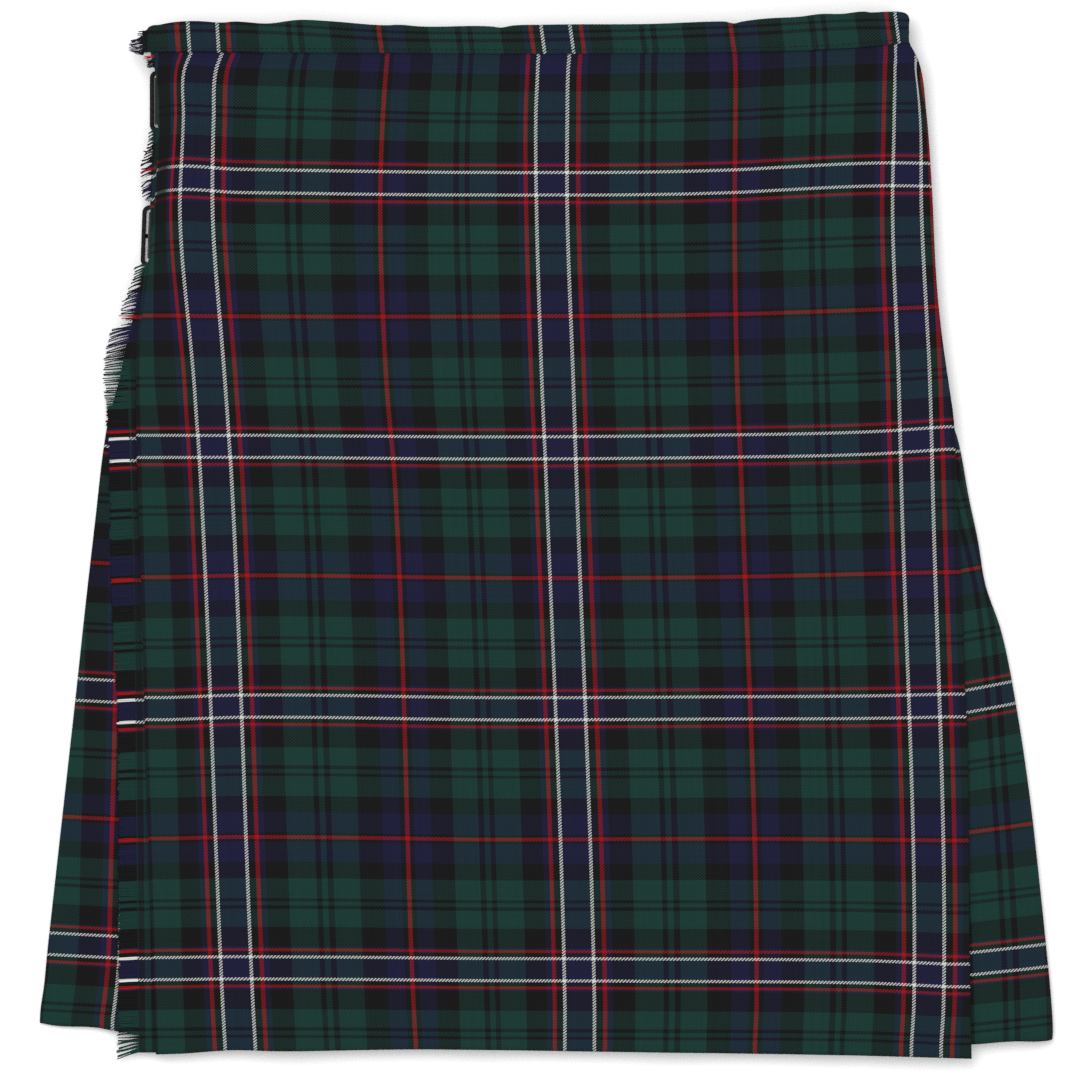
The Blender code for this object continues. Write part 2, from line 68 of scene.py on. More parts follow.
# the kilt's sizes
cloth = {"thick": 0.9, "seam": 0.3, "ply": 1.45, "floorMid": 0.5, "underBand": 3.0, "topRun": 20, "hemRun": 40}
pleat = {"count": 16, "reach": 3.3, "pitch": 1.25, "flatShare": 0.6, "sideShare": 0.25, "endRoom": 0.45}
lifted = {"height": 8.5, "width": 200, "low": 60, "high": 150, "room": 0.5, "roomRise": 10}
climb = {"low": 240, "rise": 43}   # where the layers part, because the waistbands' strips lie between them
cover = {"strip": 10, "stripFade": 20, "turn": 4, "turnFade": 16}   # how the over apron comes down off the layers
ply = cloth["ply"]

# outlines: height, then distance from the middle line
backLeft = ((281, -229.5), (215, -230.8), (150, -236.5), (60, -258.6), (-30, -269.2), (-103, -277.0),
            (-207, -288.8), (-297, -298.6))
backRight = ((281, 213.0), (215, 224.5), (150, 228.0), (60, 239.5), (-30, 258.5), (-103, 277.2),
             (-207, 290.8), (-297, 298.6))
leftOutline = ((281, -229.0), (273, -227.2), (239, -227.2), (221, -230.0), (194, -231.8), (160, -233.0),
               (148, -238.4), (126, -243.8), (107, -248.4), (95, -250.8), (82, -254.2), (67, -258.3), (52, -260.9),
               (9, -265.9), (-38, -271.3), (-101, -278.1), (-162, -284.9), (-215, -290.8),
               (-252, -294.8), (-269, -296.2), (-287, -298.2), (-297, -298.6))
rightOutline = ((281, 213.0), (248, 222.0), (206, 225.1), (150, 227.9), (121, 230.7), (90, 235.1),
                (68, 239.4), (55, 243.3), (22, 249.4), (-3, 254.7), (-29, 259.1), (-56, 268.3),
                (-103, 277.7), (-155, 285.4), (-207, 291.3), (-241, 294.8), (-271, 297.7),
                (-294, 298.9), (-300, 298.4))
apronLeft = ((300, -232.0), (283, -232.6), (276, -230.9), (271, -229.6), (238, -228.6), (197, -230.6),
             (168, -232.9), (138, -237.1), (109, -240.6), (80, -241.8), (62, -241.8), (-38, -238.5),
             (-156, -235.3), (-244, -232.1), (-306, -230.0))
apronRight = ((300, 211.6), (291.5, 212.4), (287.5, 214.9), (279, 219.2), (248, 224.0), (206, 227.1),
              (150, 229.9), (121, 232.7), (90, 237.0), (68, 240.1), (24, 241.8), (-38, 244.7), (-87, 246.5),
              (-124, 248.3), (-174, 248.9), (-244, 249.4), (-308, 250.6))
apronTurn = ((300, 12.0), (150, 20.0), (-306, 48.0))
underEdge = ((300, 178.0), (-306, 190.0))

# edges that run across: distance from the middle line, then height
waistEdge = ((-238, 294.5), (-236.6, 296.6), (-234.6, 297.4), (-233.4, 299.0), (-227, 300.4), (-218.8, 301.9),
             (-205.9, 302.6), (-190, 301.7), (-183.5, 302.3), (-164, 301.1), (-145, 303.2), (-127, 302.4),
             (-94.5, 300.1), (-86.5, 300.4), (-73.3, 299.4), (-32.4, 299.5), (-26.5, 298.8), (-19.7, 300.0),
             (-1.5, 300.5), (12.7, 300.7), (58.6, 300.9), (71, 301.3), (101.4, 302.4), (105.7, 302.3), (110.4, 301.2),
             (115.1, 302.3), (128, 304.0), (150, 305.3), (161.4, 306.8), (174, 306.9), (187, 308.2),
             (191, 307.7), (200, 308.1), (209.5, 307.8), (211.8, 306.9), (212.9, 305.5), (213.6, 302.6))
bandFoot = ((-237, 284.2), (-100, 283.6), (0, 283.3), (120, 284.4), (170, 286.0), (214, 289.8))
apronHem = ((-238, -305.9), (-214, -305.1), (-184, -303.1), (-158, -303.6), (-75, -302.6), (32, -303.9),
            (121, -305.1), (186, -306.2), (250.6, -308.0))
backHem = ((-298.5, -287.4), (-290, -289.0), (-265, -290.1), (-252, -292.4), (-150, -298.0), (0, -301.0),
           (200, -301.5), (250.6, -300.4), (274, -298.6), (296, -298.2), (298, -297.6), (299, -296.4))

# soft ridges of the over apron, with the troughs between them: middle, top, bottom, half width, height
apronFolds = (
    (-36, 283, 120, 18, 2.2), (6, 283, 40, 20, 2.4), (98, 283, 40, 18, 2.2), (134, 283, 110, 18, 2.0),
    (-150, -60, -306, 34, 1.6), (-40, -120, -306, 30, 1.4), (70, -40, -306, 36, 1.8), (165, 20, -306, 28, 1.5),
)
# soft slanting ridges where the folded cloth has kept a crease: points along it, half width, height
apronCreases = (
    (((-236, 118), (-204, 72), (-153, 42), (-128, 12), (-97, -28), (-58, -58)), 13, 2.3),
    (((-186, 208), (-150, 196), (-112, 204)), 14, 1.8),
    (((-110, 262), (-100, 232), (-104, 205)), 14, 1.8),
    (((158, 262), (166, 236), (160, 214)), 12, 1.8),
)
straps = (   # the leather's outermost edge and the buckle's, and how far both lean out toward the hem
    {"name": "waist", "height": 256.0, "bend": -230.8, "front": -233.6, "lean": 0.0},
    {"name": "hip", "height": 176.7, "bend": -234.4, "front": -238.5, "lean": 0.036},
)
strapSize = {"width": 27.2, "thick": 1.6, "sewn": 42.0, "bump": 2.2, "topRadius": 2.4, "lowRadius": 3.0,
             "tail": 1.0, "tailEnd": 14.0, "bumpRise": 16, "bumpEnd": 22, "stitchInset": 2.4, "tip": 9.0}


# how high each layer lies
def reveal(y):
    return (smooth(backRight, y) - smooth(backLeft, y)) / pleat["count"]


def lift(x, y):
    along = np.clip((y - lifted["low"]) / (lifted["high"] - lifted["low"]), 0, 1)
    across = np.clip((x - smooth(backLeft, y)) / lifted["width"], 0, 1)
    return lifted["height"] * along * (1 - across) ** 2


def backTop(x, y):
    steps = np.clip((x - smooth(backLeft, y)) / reveal(y), 0, pleat["reach"])
    return cloth["floorMid"] + 2 * pleat["pitch"] * steps + lift(x, y)


def bandClimb(y):
    return ease((y - climb["low"]) / climb["rise"])


def underMid(x, y):
    along = np.clip((y - lifted["low"]) / lifted["roomRise"], 0, 1)
    across = np.clip((x - smooth(backLeft, y)) / lifted["width"], 0, 1)
    return backTop(x, y) + lifted["room"] * along * 4 * across * (1 - across) + ply * (1 + bandClimb(y))


def strapBump(x, y):
    total = 0 * x
    for strap in straps:
        along = 1 - ease((abs(y - strap["height"]) - strapSize["width"] / 2 - 1) / strapSize["bumpRise"])
        across = 1 - ease((x - strap["bend"] - strapSize["sewn"] - 6) / strapSize["bumpEnd"])
        total = np.maximum(total, along * across)
    return strapSize["bump"] * total


def stripMid(x, y):
    return underMid(x, y) + ply * (1 + 2 * bandClimb(y)) + strapBump(x, y)


def creaseHeight(points, half, rise, x, y):
    # the ridge is highest halfway along and dies away at both ends
    steps = [math.dist(a, b) for a, b in zip(points, points[1:])]
    height, passed = 0 * x + 0 * y, 0.0
    for (ax, ay), (bx, by), step in zip(points, points[1:], steps):
        along = np.clip(((x - ax) * (bx - ax) + (y - ay) * (by - ay)) / step ** 2, 0, 1)
        away = np.hypot(x - ax - along * (bx - ax), y - ay - along * (by - ay)) / half
        fade = np.sin(math.pi * (passed + along * step) / sum(steps)) ** 0.6
        height = np.maximum(height, rise * fade * (0.5 + 0.5 * np.cos(math.pi * np.clip(away, 0, 1))))
        passed += step
    return height


def apronWave(x, y):
    height = 0 * x
    for middle, top, bottom, half, rise in apronFolds:
        across = np.clip(abs(x - middle) / half, 0, 1)
        ends = np.minimum(ease((top - y) / 40), ease((y - bottom) / 60 + (bottom <= -306)))
        height = height + rise * ends * (0.5 + 0.5 * np.cos(math.pi * across))
    for points, half, rise in apronCreases:
        height = np.maximum(height, creaseHeight(points, half, rise, x, y))
    return height


def overMid(x, y):
    left, right = smooth(apronLeft, y), smooth(apronRight, y)
    overStrip = 1 - ease((x - left - cover["strip"]) / cover["stripFade"])
    overTurn = 1 - ease((right - smooth(apronTurn, y) - cover["turn"] - x) / cover["turnFade"])
    return stripMid(x, y) + ply * np.maximum(overStrip, overTurn) + apronWave(x, y)


# the tartan: its thread counts and how its stripes run in each piece
# Counts run from the middle of the white pair to the middle of the single red line and back again.
# A half thread means that the middle of a stripe is the middle of one of its threads.
tartan = {
    "warp": (("navy", 15), ("white", 4), ("black", 8), ("red", 5), ("navy", 6), ("black", 27), ("green", 32),
             ("black", 7), ("green", 6), ("black", 7), ("green", 32), ("black", 28), ("navy", 21),
             ("black", 6), ("red", 2.5)),
    "weft": (("navy", 13.5), ("white", 4), ("black", 6), ("red", 3), ("navy", 4), ("black", 26), ("green", 26),
             ("black", 4), ("green", 7), ("black", 4), ("green", 27), ("black", 24), ("navy", 28),
             ("black", 4), ("red", 2.5)),
    "warpPitch": 0.511,   # mm from one warp thread to the next
    "weftPitch": 0.4216,
    "topPitch": 0.444,   # where the cloth is eased out toward the waistband
    "green": "#183530", "navy": "#1b1b35", "black": "#151516", "red": "#931219", "white": "#d0d0cd",
}
warpTurn = sum(count for _, count in tartan["warp"])

# where the over apron's stripes lie at each height
stripeThreads = (-100.5, -65, -29.5, -17, 17, 206.5, 396, 430, 619.5, 809, 843, 855.5)
stripePlaces = (
    (284.5, -237, -228, -214.5, -208.5, -190, -93, -4.5, 14, 111, 206, 217, 219.5),
    (273.5, -237, -228.5, -217.5, -213, -194, -94, -5, 13, 111.5, 205.5, 218.5, 220),
    (246, -236.5, -227.5, -218, -213.5, -195.5, -96, -6, 12.5, 111.5, 205, 220.5, 224),
    (188.5, -239, -230, -221, -215.5, -196, -97.5, -5.5, 12.5, 111, 204, 221, 227.5),
    (91.5, -240, -230.5, -213, -207.5, -189, -94, -2.5, 16, 112.5, 207.5, 226, 232),
    (32.5, -239, -224.5, -209.5, -203.5, -185, -89, 0, 18, 115, 209, 227.5, 234),
    (-274, -230.5, -213.5, -196.5, -190.5, -172.5, -78, 11, 28.5, 124, 216.5, 234, 240.5),
    (-300.5, -229.5, -212.5, -195, -189, -171, -76.5, 11, 28.5, 123, 215, 232.5, 239),
)
# how high its cross lines lie at each distance from the middle
lineThreads = (90, 0, -183, -366, -549, -732, -915, -1098)
linePlaces = (
    (-232, 248, 206.5, 129.5, 52.5, -24.5, -102, -178.5, -255),
    (-224, 250, 209.5, 129.5, 52.5, -24.5, -102, -178.5, -255),
    (-180, 249, 208.5, 129, 52.5, -23.5, -100.5, -177.5, -254.5),
    (-27, 245.5, 207, 129, 51.5, -25, -102, -179, -255.5),
    (97, 247, 208, 130, 52.5, -24.5, -101.5, -178.5, -256),
    (192.5, 251.5, 212.5, 133, 54.5, -22.5, -101, -179, -257),
    (237, 252, 212, 135, 57.5, -21.5, -100, -179.5, -259),
)


def threadsAcross(x, y):
    guides = [smooth(stripePlaces, y, column + 1) for column in range(len(stripeThreads))]
    threads = stripeThreads[0] + np.minimum(x - guides[0], 0) / tartan["warpPitch"]
    for index in range(len(guides) - 1):
        share = np.clip((x - guides[index]) / (guides[index + 1] - guides[index]), 0, 1)
        threads = threads + share * (stripeThreads[index + 1] - stripeThreads[index])
    return threads + np.maximum(x - guides[-1], 0) / tartan["warpPitch"]


def threadsUp(x, y):
    guides = [smooth(linePlaces, x, column + 1) for column in range(len(lineThreads))]
    threads = lineThreads[0] + np.maximum(y - guides[0], 0) / tartan["topPitch"]
    for index in range(len(guides) - 1):
        share = np.clip((guides[index] - y) / (guides[index] - guides[index + 1]), 0, 1)
        threads = threads + share * (lineThreads[index + 1] - lineThreads[index])
    return threads + np.minimum(y - guides[-1], 0) / tartan["weftPitch"]


# small helpers for nodes and meshes
def linear(text):
    values = [int(text[i:i + 2], 16) / 255 for i in (1, 3, 5)]
    return [v / 12.92 if v <= 0.04045 else ((v + 0.055) / 1.055) ** 2.4 for v in values] + [1.0]


def wire(tree, node, links):
    # links are given as input = value, or input = (node, output); i0 means the first input
    for name, value in links.items():
        socket = node.inputs[int(name[1:]) if name[0] == "i" and name[1:].isdigit() else name.replace("_", " ")]
        if isinstance(value, tuple) and len(value) == 2 and isinstance(value[0], bpy.types.Node):
            tree.links.new(value[0].outputs[value[1]], socket)
        else:
            socket.default_value = value
    return node


def addNode(tree, kind, settings=None, **links):
    node = tree.nodes.new(kind)
    for name, value in (settings or {}).items():
        setattr(node, name, value)
    return wire(tree, node, links)


def sums(tree, operation, first, second=0.0, third=0.0):
    return addNode(tree, "ShaderNodeMath", {"operation": operation}, i0=first, i1=second, i2=third), 0


def mixed(tree, share, first, second, **settings):
    return addNode(tree, "ShaderNodeMix", {"data_type": "RGBA", **settings}, i0=share, i6=first, i7=second), 2


def ranged(tree, value, low, high, lowest=0.0, highest=1.0):
    # a value between lowest and highest, spread from low to high
    return addNode(tree, "ShaderNodeMapRange", None, Value=value, From_Min=lowest, From_Max=highest,
                   To_Min=low, To_Max=high), 0


def scaled(tree, colour, amount):
    return addNode(tree, "ShaderNodeVectorMath", {"operation": "SCALE"}, i0=colour, Scale=amount), 0


def bumped(tree, height, strength, depth):
    return addNode(tree, "ShaderNodeBump", None, Strength=strength, Distance=depth * mm, Height=height), 0


def patches(tree, scale, detail=2.0):
    where = addNode(tree, "ShaderNodeTexCoord")
    return addNode(tree, "ShaderNodeTexNoise", None, Vector=(where, 3), Scale=scale, Detail=detail), 0


def newMaterial(name):
    material = bpy.data.materials.new(name)
    material.use_nodes = True
    tree = material.node_tree
    return material, tree, tree.nodes["Principled BSDF"]


def chartColour(tree, chart, thread):
    # the chart runs forward and back again, with one constant step of the ramp for each stripe
    total, start = sum(count for _, count in chart), 0
    place = sums(tree, "DIVIDE", sums(tree, "PINGPONG", thread, total), total)
    ramp = addNode(tree, "ShaderNodeValToRGB", Fac=place)
    ramp.color_ramp.interpolation = "CONSTANT"
    for index, (colour, count) in enumerate(chart):
        steps = ramp.color_ramp.elements
        step = steps[index] if index < 2 else steps.new(start / total)
        step.position = start / total
        step.color = linear(tartan[colour])
        start += count
    return ramp, 0


def newPiece(name, points, edges=(), faces=()):
    mesh = bpy.data.meshes.new(name)
    mesh.from_pydata((np.asarray(points, float).reshape(-1, 3) * mm).tolist(), edges, faces)
    piece = bpy.data.objects.new(name, mesh)
    bpy.context.collection.objects.link(piece)
    return piece


def shadeSmooth(piece):
    piece.data.polygons.foreach_set("use_smooth", np.ones(len(piece.data.polygons), bool))
    return piece


def addValues(piece, label, values):
    layer = piece.data.attributes.new(label, "FLOAT", "POINT")
    layer.data.foreach_set("value", np.asarray(values, np.float32).reshape(-1))


def woolPiece(name, points, faces, threads):
    # faces of cloth, with the thread counts at each point as UV
    piece = shadeSmooth(newPiece(name, points, faces=faces))
    corners = [loop.vertex_index for loop in piece.data.loops]
    layer = piece.data.uv_layers.new(name="threads")
    layer.data.foreach_set("uv", threads.reshape(-1, 2)[corners].astype(np.float32).reshape(-1))
    return piece


def shell(name, points, threads, thick, material):
    # A closed thin shell round a grid of points in mm, with its thread counts as UV.
    # Rows run down and columns run to +X on a side that faces up.
    points = np.asarray(points, float)
    down, right = np.gradient(points, axis=0), np.gradient(points, axis=1)
    normals = np.cross(down, right)
    normals /= np.maximum(np.linalg.norm(normals, axis=2, keepdims=True), 1e-9)
    offset = normals * np.broadcast_to(np.asarray(thick) / 2, points.shape[:2])[..., None]
    rows, columns = points.shape[:2]
    upper = (points + offset).reshape(-1, 3)
    lower = (points - offset).reshape(-1, 3)
    number = np.arange(rows * columns).reshape(rows, columns)
    a, b, c, d = number[:-1, :-1], number[:-1, 1:], number[1:, 1:], number[1:, :-1]
    top = np.stack([a, d, c, b], -1).reshape(-1, 4)
    edge = np.concatenate([number[0, :], number[1:, -1], number[-1, -2::-1], number[-2:0:-1, 0]])
    following = np.roll(edge, -1)
    under = rows * columns
    rim = np.stack([edge, following, following + under, edge + under], -1)
    faces = np.concatenate([top, top[:, ::-1] + under, rim]).tolist()
    piece = woolPiece(name, np.concatenate([upper, lower]), faces, np.stack([threads, threads]))
    piece.data.materials.append(material)
    return piece


def finishPiece(piece, slot, *nodes):
    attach(piece, "root")
    if nodes:
        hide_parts(*nodes)
    return piece


def sectionLength(points):
    # distance along each row of a grid
    steps = np.linalg.norm(np.diff(points, axis=1), axis=2)
    return np.concatenate([np.zeros((len(points), 1)), np.cumsum(steps, axis=1)], axis=1)


def spread(first, last, count):
    # evenly spaced columns from one edge to another, in each row
    return first + (last - first) * np.linspace(0, 1, count)[None, :]


def toEdge(table, x, y, end, run, above=0.0):
    # how far the last rows, over this run, move so that they end along the edge in the table
    return (smooth(table, x) + above - end) * np.clip(1 - abs(y - end) / run, 0, 1)


def countedFrom(table, thread, y, points, run):
    # warp threads along each row, with this thread where the table puts it on the run of columns that faces up
    length = sectionLength(points)
    anchor = [np.interp(place, points[row, run, 0], length[row, run]) for row, place in enumerate(smooth(table, y))]
    return thread + (length - np.array(anchor)) / tartan["warpPitch"]


def clothArea(points):
    points = np.asarray(points) * mm
    first = np.cross(points[1:, :-1] - points[:-1, :-1], points[:-1, 1:] - points[:-1, :-1])
    second = np.cross(points[:-1, 1:] - points[1:, 1:], points[1:, :-1] - points[1:, 1:])
    return float((np.linalg.norm(first, axis=2) + np.linalg.norm(second, axis=2)).sum() / 2)


# materials
# the two groove settings are painted shade: how far the yarn colour is darkened in the grooves and along yarn edges, on
# other yarn and on white yarn
wool = {"roughness": 0.9, "sheen": 0.02, "sheenRoughness": 0.5, "specular": 0.05,
        "threadVariation": 0.10, "grooveDepth": 0.5, "whiteGrooveDepth": 0.95,
        "relief": 0.12, "fuzz": 0.1, "darkFuzz": 0.17, "white": 0.3}   # a yarn brighter than this is white
leather = {"grain": 0.9, "relief": 0.1, "scuff": 14, "dark": "#08080a", "worn": "#121110",
           "glossy": 0.34, "matt": 0.55, "specular": 0.3}
enamel = {"rub": 3, "colour": "#070708", "glossy": 0.22, "matt": 0.40, "specular": 0.06}
sewing = {"twist": 0.5, "dark": "#050506", "lit": "#15161a", "roughness": 0.6, "specular": 0.1}
glazeIor = 1.5   # of the leather's glaze and of the enamel


def yarnColour(tree, colour, u, v):
    # each thread is dyed and spun a little differently, so its tone differs from its neighbours'
    warpTone = addNode(tree, "ShaderNodeTexWhiteNoise", {"noise_dimensions": "1D"}, W=u)
    weftTone = addNode(tree, "ShaderNodeTexWhiteNoise", {"noise_dimensions": "1D"}, W=v)
    tone = ranged(tree, sums(tree, "ADD", (warpTone, 0), (weftTone, 0)), 1 - wool["threadVariation"],
                  1 + wool["threadVariation"], 0.0, 2.0)
    return scaled(tree, colour, tone)


def finishWool(tree, shader, **links):
    wire(tree, shader, {"Roughness": wool["roughness"], "Sheen_Weight": wool["sheen"],
                        "Sheen_Roughness": wool["sheenRoughness"], "Specular_IOR_Level": wool["specular"],
                        **links})


def makeTartan():
    # Worsted wool in a two by two twill: a matt face with fine slanting ribs that rise to the right,
    # and full colour only where warp and weft of one colour cross.
    material, tree, shader = newMaterial("worstedTartanTwill")
    uv = addNode(tree, "ShaderNodeUVMap", {"uv_map": "threads"})
    split = addNode(tree, "ShaderNodeSeparateXYZ", None, i0=(uv, 0))
    across = (split, 0)
    up = sums(tree, "ADD", (split, 1), 0.5)
    warpThread = sums(tree, "FLOOR", across)
    weftThread = sums(tree, "FLOOR", up)
    warp = chartColour(tree, tartan["warp"], sums(tree, "ADD", warpThread, 0.5))
    weft = chartColour(tree, tartan["weft"], weftThread)
    step = sums(tree, "SUBTRACT", warpThread, weftThread)
    warpOver = sums(tree, "LESS_THAN", sums(tree, "FLOORED_MODULO", step, 4.0), 1.5)
    woven = mixed(tree, warpOver, weft, warp)
    crossing = mixed(tree, warpOver, warp, weft)
    # the fuzz of a crossing yarn covers the edges of each yarn, but white yarn is smooth and sheds none
    greens = [(addNode(tree, "ShaderNodeSeparateColor", None, Color=colour), 1) for colour in (warp, weft)]
    bright = sums(tree, "GREATER_THAN", sums(tree, "MAXIMUM", *greens), wool["white"])
    shed = mixed(tree, ranged(tree, bright, wool["fuzz"], 0.0), woven, crossing)
    fuzzy = mixed(tree, wool["darkFuzz"], shed, crossing, blend_type="DARKEN")
    covered = addNode(tree, "ShaderNodeAttribute", {"attribute_name": "warpCover"})
    toned = yarnColour(tree, mixed(tree, (covered, 2), fuzzy, warp), warpThread, weftThread)

    # each yarn is round and deep grooves run between the ribs: painted shade darkens the colour along each yarn's two
    # edges and in the grooves, most of all on white yarn, and the same heights also drive the bump
    slant = sums(tree, "MULTIPLY", sums(tree, "SUBTRACT", across, up), math.pi / 2)
    turns = [sums(tree, "MULTIPLY", place, math.pi) for place in (across, up)]
    alongWarp, alongWeft, rib = [sums(tree, "ABSOLUTE", sums(tree, "SINE", turn)) for turn in (*turns, slant)]
    yarnRound = addNode(tree, "ShaderNodeMix", {"data_type": "FLOAT"}, i0=warpOver, i2=alongWeft, i3=alongWarp)
    height = sums(tree, "MULTIPLY_ADD", (yarnRound, 0), 0.5, rib)
    darkestPaintedShade = ranged(tree, bright, 1 - wool["grooveDepth"], 1 - wool["whiteGrooveDepth"])
    shade = ranged(tree, height, darkestPaintedShade, 1.0, 0.0, 1.1)
    finishWool(tree, shader, Base_Color=scaled(tree, toned, shade), Normal=bumped(tree, height, 0.5, wool["relief"]))
    return material


def makeLooseYarn():
    # the same weft yarn hanging loose: its own full colour, with a soft lengthwise gloss
    material, tree, shader = newMaterial("looseWeftYarn")
    place = addNode(tree, "ShaderNodeAttribute", {"attribute_name": "weftPlace"})
    thread = sums(tree, "ROUND", (place, 2))
    colour = chartColour(tree, tartan["weft"], thread)
    finishWool(tree, shader, Base_Color=yarnColour(tree, colour, thread, thread))
    return material


def makeLeather():
    # Dyed and glazed cowhide: black, with a low broken gloss over a fine pebble grain.
    material, tree, shader = newMaterial("glazedCowhide")
    where = addNode(tree, "ShaderNodeTexCoord")
    grain = addNode(tree, "ShaderNodeTexVoronoi", None, Vector=(where, 3), Scale=1 / (leather["grain"] * mm))
    scuff = patches(tree, 1 / (leather["scuff"] * mm), 4.0)
    tint = mixed(tree, scuff, linear(leather["dark"]), linear(leather["worn"]))
    gloss = ranged(tree, scuff, leather["glossy"], leather["matt"], 0.3, 0.7)
    wire(tree, shader, {"Base_Color": tint, "Roughness": gloss, "IOR": glazeIor,
                        "Normal": bumped(tree, (grain, 0), 0.35, leather["relief"]),
                        "Specular_IOR_Level": leather["specular"]})
    return material


def makeEnamel():
    # Baked black enamel on a stamped steel buckle: deep black with a soft gloss, rubbed a little duller in places.
    material, tree, shader = newMaterial("bakedBlackEnamel")
    gloss = ranged(tree, patches(tree, 1 / (enamel["rub"] * mm), 3.0), enamel["glossy"], enamel["matt"], 0.3, 0.7)
    wire(tree, shader, {"Base_Color": linear(enamel["colour"]), "Roughness": gloss, "IOR": glazeIor,
                        "Specular_IOR_Level": enamel["specular"]})
    return material


def makeSewingThread():
    # black polyester sewing thread: thin, tight and a little glossy
    material, tree, shader = newMaterial("polyesterSewingThread")
    tint = mixed(tree, patches(tree, 1 / (sewing["twist"] * mm)), linear(sewing["dark"]), linear(sewing["lit"]))
    wire(tree, shader, {"Base_Color": tint, "Roughness": sewing["roughness"],
                        "Specular_IOR_Level": sewing["specular"]})
    return material


tartanTwill = makeTartan()
looseYarn = makeLooseYarn()
blackLeather = makeLeather()
blackEnamel = makeEnamel()
sewingThread = makeSewingThread()
print("materials made")

# over apron
overApronSize = {"rows": 200, "edgeColumns": 26, "edgeShare": 0.075, "columns": 130, "foldPoints": 7,
                 "turnColumns": 12, "top": 300, "bottom": -306, "ripple": 0.16, "crowded": 1.05}


def rippled(x, y):
    # slight unevenness of woollen cloth that has been folded away
    return overApronSize["ripple"] * (np.sin(x / 11.0 + 0.6 * np.sin(y / 37.0)) * np.sin(y / 17.0 + x / 53.0)
                                      + 0.7 * np.sin(x / 29.0 - y / 23.0))


# how much of the weft each warp thread hides where they crowd together
crowdedThreads = ((-66, 0), (-63, 0.85), (-40, 0.85), (-38, 0.2), (-33, 0.2), (-31, 0.45), (-17, 0.45))


def makeOverApron():
    size = overApronSize
    y = np.linspace(size["top"], size["bottom"], size["rows"])[:, None]
    left = smooth(apronLeft, y) + cloth["seam"]
    right = smooth(apronRight, y)
    radius = ply / 2
    edge = right - cloth["thick"] / 2 - radius
    # closer columns near the left edge, where the stripes crowd together
    shares = np.concatenate([np.linspace(0, size["edgeShare"], size["edgeColumns"])[:-1],
                             np.linspace(size["edgeShare"], 1, size["columns"] - size["edgeColumns"] + 1)])
    flatX = left + (edge - left) * shares[None, :]
    fold = np.linspace(math.pi / 2, -math.pi / 2, size["foldPoints"])[None, 1:-1]
    turnX = spread(edge, right - smooth(apronTurn, y), size["turnColumns"])
    x = np.concatenate([flatX, edge + radius * np.cos(fold), turnX], axis=1)
    fullY = (y + toEdge(waistEdge, x, y, size["top"], cloth["topRun"], -cloth["underBand"])
             + toEdge(apronHem, x, y, size["bottom"], cloth["hemRun"]))
    drop = np.concatenate([0 * flatX, radius * (1 - np.sin(fold)) + 0 * y, ply + 0 * turnX], axis=1)
    onEdge = np.minimum(x, edge)
    z = overMid(onEdge, fullY) - drop + rippled(x, fullY) * ease((x - left) / 12) * ease((283 - fullY) / 12)
    points = np.stack([x, fullY, z], -1)

    # the stripes follow the guides on top and run on round the pressed edge
    threads = np.stack([threadsAcross(x, fullY), threadsUp(x, fullY)], -1)
    length = sectionLength(points)
    last = size["columns"] - 1
    beyond = (length[:, last + 1:] - length[:, last:last + 1]) / tartan["warpPitch"]
    threads[:, last + 1:, 0] = threads[:, last:last + 1, 0] + beyond
    # near the left edge the crowded warp covers the weft
    crowding = np.gradient(threads[..., 0], axis=1) / np.gradient(length, axis=1) * tartan["warpPitch"]
    hidden = ease(crowding - size["crowded"]) * straight(crowdedThreads, threads[..., 0])
    piece = shell("overApronCloth", points, threads, cloth["thick"], tartanTwill)
    addValues(piece, "warpCover", np.tile(hidden.reshape(-1), 2))
    return piece, clothArea(points)


overApron, overApronArea = makeOverApron()
finishPiece(overApron, "tartan_wool", "over_apron")
print("over apron made", round(overApronArea, 4))

# under apron, with the fold round the wearer's right side
underApronSize = {"rows": 150, "floorColumns": 4, "foldPoints": 11, "slopeColumns": 34, "columns": 60,
                  "top": 299, "bottom": -297, "foldReach": 1.15, "stripe": -29.5,
                  "line": -549, "lineHeight": -15.6, "lineFrom": -274, "lean": 0.05, "weftPitch": 0.4117}
leftStripe = ((281, -238.0), (95, -241.0), (66, -253.0), (50, -253.3), (-70, -253.6), (-121, -254.4),
              (-185, -256.2), (-250, -258.0), (-274, -260.0), (-290, -261.8))   # where its stripe, a red line, runs


